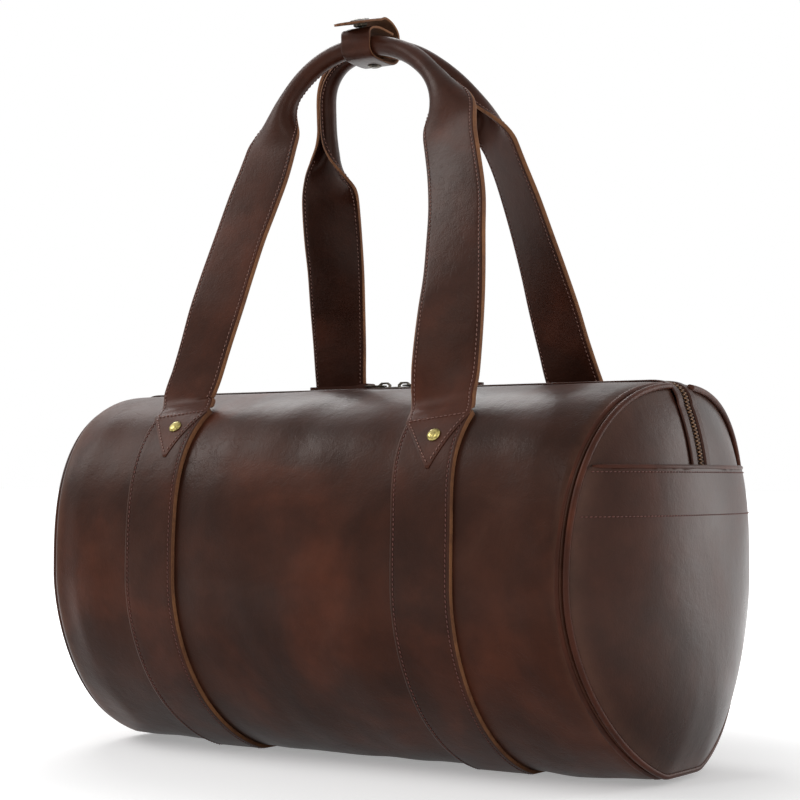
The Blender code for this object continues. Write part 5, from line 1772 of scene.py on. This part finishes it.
@dataclass
class Zip:
    """Tapes, rows of teeth, and the folded facings beside them.

    Attributes:
        tape_drop: How deep the tapes lie, with how much deeper under the leather.
        tape_tuck: How far a tape goes under the leather beside the slot.
        corner: Length of the bend from the top into the dome.
        facing_inner: From the zip's middle to the facing's fold, with the seam and the lap outside it.
        facing_rise: Height of the facing's face, with the fall of its fold and of its outer edge.
    """

    barrel: Barrel
    finishes: Finishes
    tape_ply: float = 0.0008
    tape_drop: float = 0.0009
    tape_dip: float = 0.0016
    tape_dip_run: float = 0.002
    tape_tuck: float = 0.004
    chain_gap: float = 0.0016
    teeth_gap: float = 0.0001
    teeth_width: float = 0.0026
    teeth_height: float = 0.0020
    teeth_bevel: float = 0.00025
    tooth_length_share: float = 0.46
    tooth_width_share: float = 1.25
    pitch: float = 0.0026
    corner: float = 0.014
    corner_share: float = 0.92
    facing_inner: float = 0.0060
    facing_seam: float = 0.0080
    facing_lap: float = 0.0026
    facing_rise: float = 0.0007
    facing_turn: float = 0.0009
    facing_fall: float = 0.0006
    facing_round: float = 0.0012
    facing_ply: float = 0.0009
    seam_span: Span = (0.004, 0.996)
    seam: Seam = field(default_factory=Seam)

    def route(self) -> Route:
        """Returns points and outward directions along the zip, left to right."""
        bag = self.barrel
        start = Vector((bag.half - self.corner, 0.0, bag.top_z))
        dome = bag.end_point(0.0, self.corner_share, bag.end_standoff, bag.end_bulge)
        knee = Vector((dome.x - bag.end_standoff, 0.0, bag.top_z))
        half = [Vector((x, 0.0, bag.top_z)) for x in steps(40, 0.0, start.x)]
        for t in steps(10)[1:]:
            half.append(start * (1 - t) ** 2 + knee * (2 * t * (1 - t)) + dome * t ** 2)
        for share in steps(16, self.corner_share, bag.zip_end_share)[1:]:
            half.append(bag.end_point(0.0, share, bag.end_standoff, bag.end_bulge))
        last = (half[-1] - half[-2]).normalized()
        half.append(half[-1] + last * bag.zip_tail)
        points = [Vector((-p.x, 0.0, p.z)) for p in half[:0:-1]] + half
        routed = []
        for i, point in enumerate(points):
            along = (points[min(i + 1, len(points) - 1)] - points[max(i - 1, 0)]).normalized()
            routed.append((point, Vector((-along.z, 0.0, along.x))))
        return routed

    def build_tape(self, route: Route, side: float, word: str) -> None:
        """Args:
            route: Points and outward directions along the zip.
            side: -1 for the front tape, 1 for the rear one.
            word: The side's name, as the nodes spell it.
        """
        count = len(route) - 1
        slot = self.barrel.slot_width / 2
        near, far = side * self.chain_gap / 2, side * (slot + self.tape_tuck)

        def face(u: float, v: float) -> Vector:
            point, out = route[round(v * count)]
            y = lerp(near, far, u)
            lift = -self.tape_drop - self.tape_dip * smooth_share(abs(y), slot - self.tape_dip_run, slot)
            return point + out * lift + Vector((0.0, y, 0.0))

        bm = laid_grid(steps(12), steps(count), face, flip=side < 0)
        tape = wall(object_of(bm, "zip_tape_cloth_" + word), self.tape_ply, 0)
        self.finishes.dress(tape, Slot.TAPE, "zip_cloth")
        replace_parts(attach(tape, "bag"), "zip_tape_" + word)
        row = object_of(self.teeth(route, side), "zip_teeth_row_" + word)
        self.finishes.dress(row, Slot.DARK, "zip_teeth_metal")
        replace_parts(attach(row, "bag"), "zip_teeth_" + word)
        length = sum((after[0] - before[0]).length for before, after in zip(route, route[1:]))
        flat = (abs(far - near), length)
        LOG.info("%s zip tape: %.4f x %.4f m flat", word, *flat)

    def build_facing(self, route: Route, side: float, word: str) -> None:
        """Makes the folded leather beside the teeth, with its stitches.

        Args:
            route: Points and outward directions along the zip.
            side: -1 for the front facing, 1 for the rear one.
            word: The side's name, as the nodes spell it.
        """
        count = len(route) - 1
        outer, inner = self.barrel.slot_width / 2 + self.facing_lap, self.facing_inner

        def face(u: float, v: float) -> Vector:
            spot = min(max(v, 0.0), 1.0) * count
            i = min(int(spot), count - 1)
            (p0, out0), (p1, out1) = route[i], route[i + 1]
            place = lerp(outer, inner, u)
            fold = 1.0 - smooth_share(place - inner, 0.0, self.facing_round)
            lift = self.facing_rise - self.facing_turn * fold
            lift -= self.facing_fall * smooth_share(place, outer - self.facing_round, outer)
            return p0.lerp(p1, spot - i) + out0.lerp(out1, spot - i) * lift + Vector((0.0, side * place, 0.0))

        us = [0.0, 0.1, 0.2, 0.35, 0.5, 0.65, 0.78, 0.86, 0.93, 0.97, 1.0]
        bm = laid_grid(us, steps(count), face, flip=side > 0)
        facing = wall(object_of(bm, "zip_facing_leather_" + word), self.facing_ply, 0)
        self.finishes.dress(facing, Slot.PANEL, "end_hide")
        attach(facing, "bag")
        threads = bmesh.new()
        share = (outer - self.facing_seam) / (outer - inner)
        trail = [(share, v) for v in steps(count, *self.seam_span)]
        sewn = self.seam.sew(threads, face, trail, Vector((-1.0, 0.0, 0.4)))
        stitches = object_of(threads, "zip_facing_stitches_" + word)
        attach(self.finishes.dress(stitches, Slot.STRAP, "red_thread"), "bag")
        LOG.info("%s zip facing: %d stitches", word, sewn)

    def teeth(self, route: Route, side: float) -> BMesh:
        """Makes one row of teeth along the route, half a pitch apart from the other row."""
        bm = bmesh.new()
        rise = SEAT_GAP - self.tape_drop + self.teeth_height / 2
        aside = Vector((0.0, side * (self.teeth_width / 2 + self.teeth_gap), 0.0))
        along, across = self.pitch * self.tooth_length_share, self.teeth_width * self.tooth_width_share
        tooth = Matrix.Diagonal((along, across, self.teeth_height, 1.0))
        travelled, target = 0.0, self.pitch * (0.5 if side > 0 else 1.0)
        for (p0, out), (p1, _) in zip(route, route[1:]):
            length = (p1 - p0).length
            while travelled + length >= target:
                point = p0.lerp(p1, (target - travelled) / length) + out * rise + aside
                bmesh.ops.create_cube(bm, size=1.0, matrix=frame_at(point, p1 - p0, out) @ tooth)
                target += self.pitch
            travelled += length
        bevel = {"segments": 1, "profile": 0.5, "affect": "EDGES", "material": -1}
        bmesh.ops.bevel(bm, geom=bm.edges[:], offset=self.teeth_bevel, **bevel)
        return bm

    def build(self) -> None:
        """Makes tapes, teeth and facings."""
        route = self.route()
        for side, word in ((-1.0, "front"), (1.0, "rear")):
            self.build_tape(route, side, word)
            self.build_facing(route, side, word)


@dataclass(frozen=True)
class Studio:
    """Camera, floor and soft lamps."""

    lens: float = 90.0
    sensor: float = 36.0
    azimuth: float = 0.60
    pitch: float = 0.040
    distance: float = 1.536
    target: tuple[float, float, float] = (0.005, 0.0, 0.271)
    lit_height: float = 0.18
    world_strength: float = 0.34
    floor_grey: float = 0.90
    floor_glow: float = 0.32
    glow_span: Span = (0.22, 0.62)

    def camera(self) -> None:
        """Stands the camera at the photograph's place."""
        level, low = math.cos(self.pitch), math.sin(self.pitch)
        away = Vector((math.sin(self.azimuth) * level, -math.cos(self.azimuth) * level, -low))
        data = bpy.data.cameras.new("camera")
        data.lens = self.lens
        data.sensor_width = self.sensor
        data.clip_start = 0.05
        data.clip_end = 60.0
        camera = bpy.data.objects.new("camera", data)
        camera.location = Vector(self.target) + away * self.distance
        camera.rotation_euler = (-away).to_track_quat("-Z", "Y").to_euler()
        bpy.context.scene.collection.objects.link(camera)
        bpy.context.scene.camera = camera

    def lamp(self, name: str, place: tuple[float, float, float], size: Span, power: float) -> None:
        """Adds one softbox that looks at the bag."""
        data = bpy.data.lights.new(name, "AREA")
        data.shape = "RECTANGLE"
        data.size, data.size_y = size
        data.energy = power
        lamp = bpy.data.objects.new(name, data)
        lamp.location = place
        toward = Vector((0.0, 0.0, self.lit_height)) - Vector(place)
        lamp.rotation_euler = toward.to_track_quat("-Z", "Y").to_euler()
        bpy.context.scene.collection.objects.link(lamp)

    def seen(self, s: Shader) -> Socket:
        """Returns 1 for camera, glossy and transmission rays, and 0 for the rest."""
        path = s.node("ShaderNodeLightPath")
        first = s.math("MAXIMUM", path.outputs["Is Camera Ray"], path.outputs["Is Glossy Ray"])
        return s.math("MAXIMUM", first, path.outputs["Is Transmission Ray"])

    def floor(self) -> None:
        """Lays the pale floor, which fades into the white background and keeps the bag's shadow."""
        bm = bmesh.new()
        bmesh.ops.create_grid(bm, x_segments=1, y_segments=1, size=30.0)
        floor = object_of(bm, "floor")
        material, s, principled, place = start_material("floor_white")
        away = s.node("ShaderNodeVectorMath", {"operation": "LENGTH"}, {0: place}).outputs["Value"]
        glow = s.math("MULTIPLY", s.span(away, *self.glow_span, self.floor_glow, 1.0), self.seen(s))
        s.give(principled, {
            "Base Color": (self.floor_grey, self.floor_grey, self.floor_grey, 1), "Roughness": 0.9,
            "Specular IOR Level": 0.1, "Emission Color": s.grey(glow), "Emission Strength": 1.0,
        })
        floor.data.materials.append(material)

    def build(self) -> None:
        """Sets up the whole studio."""
        self.camera()
        self.floor()
        self.lamp("key_softbox", (-2.1, -1.05, 1.95), (1.3, 1.1), 28.0)
        self.lamp("front_strip", (-0.1, -1.9, 1.6), (0.35, 1.0), 6.0)
        self.lamp("top_back_softbox", (-1.35, 1.05, 1.85), (1.4, 0.8), 16.0)
        self.lamp("right_back_softbox", (1.5, 2.1, 0.5), (0.8, 1.2), 12.0)
        self.lamp("right_fill", (2.2, -0.9, 1.0), (0.8, 1.2), 9.0)
        world = bpy.data.worlds.new("studio")
        world.use_nodes = True
        bpy.context.scene.world = world
        s = Shader(world.node_tree)
        strength = s.span(self.seen(s), 0.0, 1.0, self.world_strength, 1.0)
        s.give(world.node_tree.nodes["Background"], {"Color": (1.0, 1.0, 1.0, 1), "Strength": strength})
        bpy.context.scene.view_settings.view_transform = "Standard"


def dress_kept_nodes(finishes: Finishes, nodes: dict[str, Object]) -> None:
    """Gives the frame's own metal and hidden pieces their finishes."""
    kept = {
        "dark_metal": (
            "keeper_snap_stud", "keeper_snap_socket", "keeper_snap_cap", "keeper_rivet", "slider_left",
            "slider_right", "pull_link_left", "pull_link_right", "zip_stop_left", "zip_stop_right"),
        "lining_cloth": ("lining", "seam_binding_left", "seam_binding_right"),
        "twisted_cord": ("grip_core_front", "grip_core_rear"),
        "strap_hide": ("pull_tab_left", "pull_tab_right"),
    }
    for finish, names in kept.items():
        for name in names:
            node = nodes[name]
            node.data.materials.clear()
            node.data.materials.append(finishes.made[finish])


def main() -> None:
    """Builds the looks in order."""
    logging.basicConfig(level=logging.INFO, format="%(message)s")
    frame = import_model()
    Studio().build()
    finishes = Finishes()
    finishes.make()
    barrel, grips = Barrel(), Grips()
    Shell(barrel, finishes).build()
    BodyStraps(barrel, finishes).build()
    Handles(barrel, finishes, grips).build()
    Keeper(finishes, grips).build()
    Zip(barrel, finishes).build()
    dress_kept_nodes(finishes, frame["nodes"])


if __name__ == "__main__":
    main()
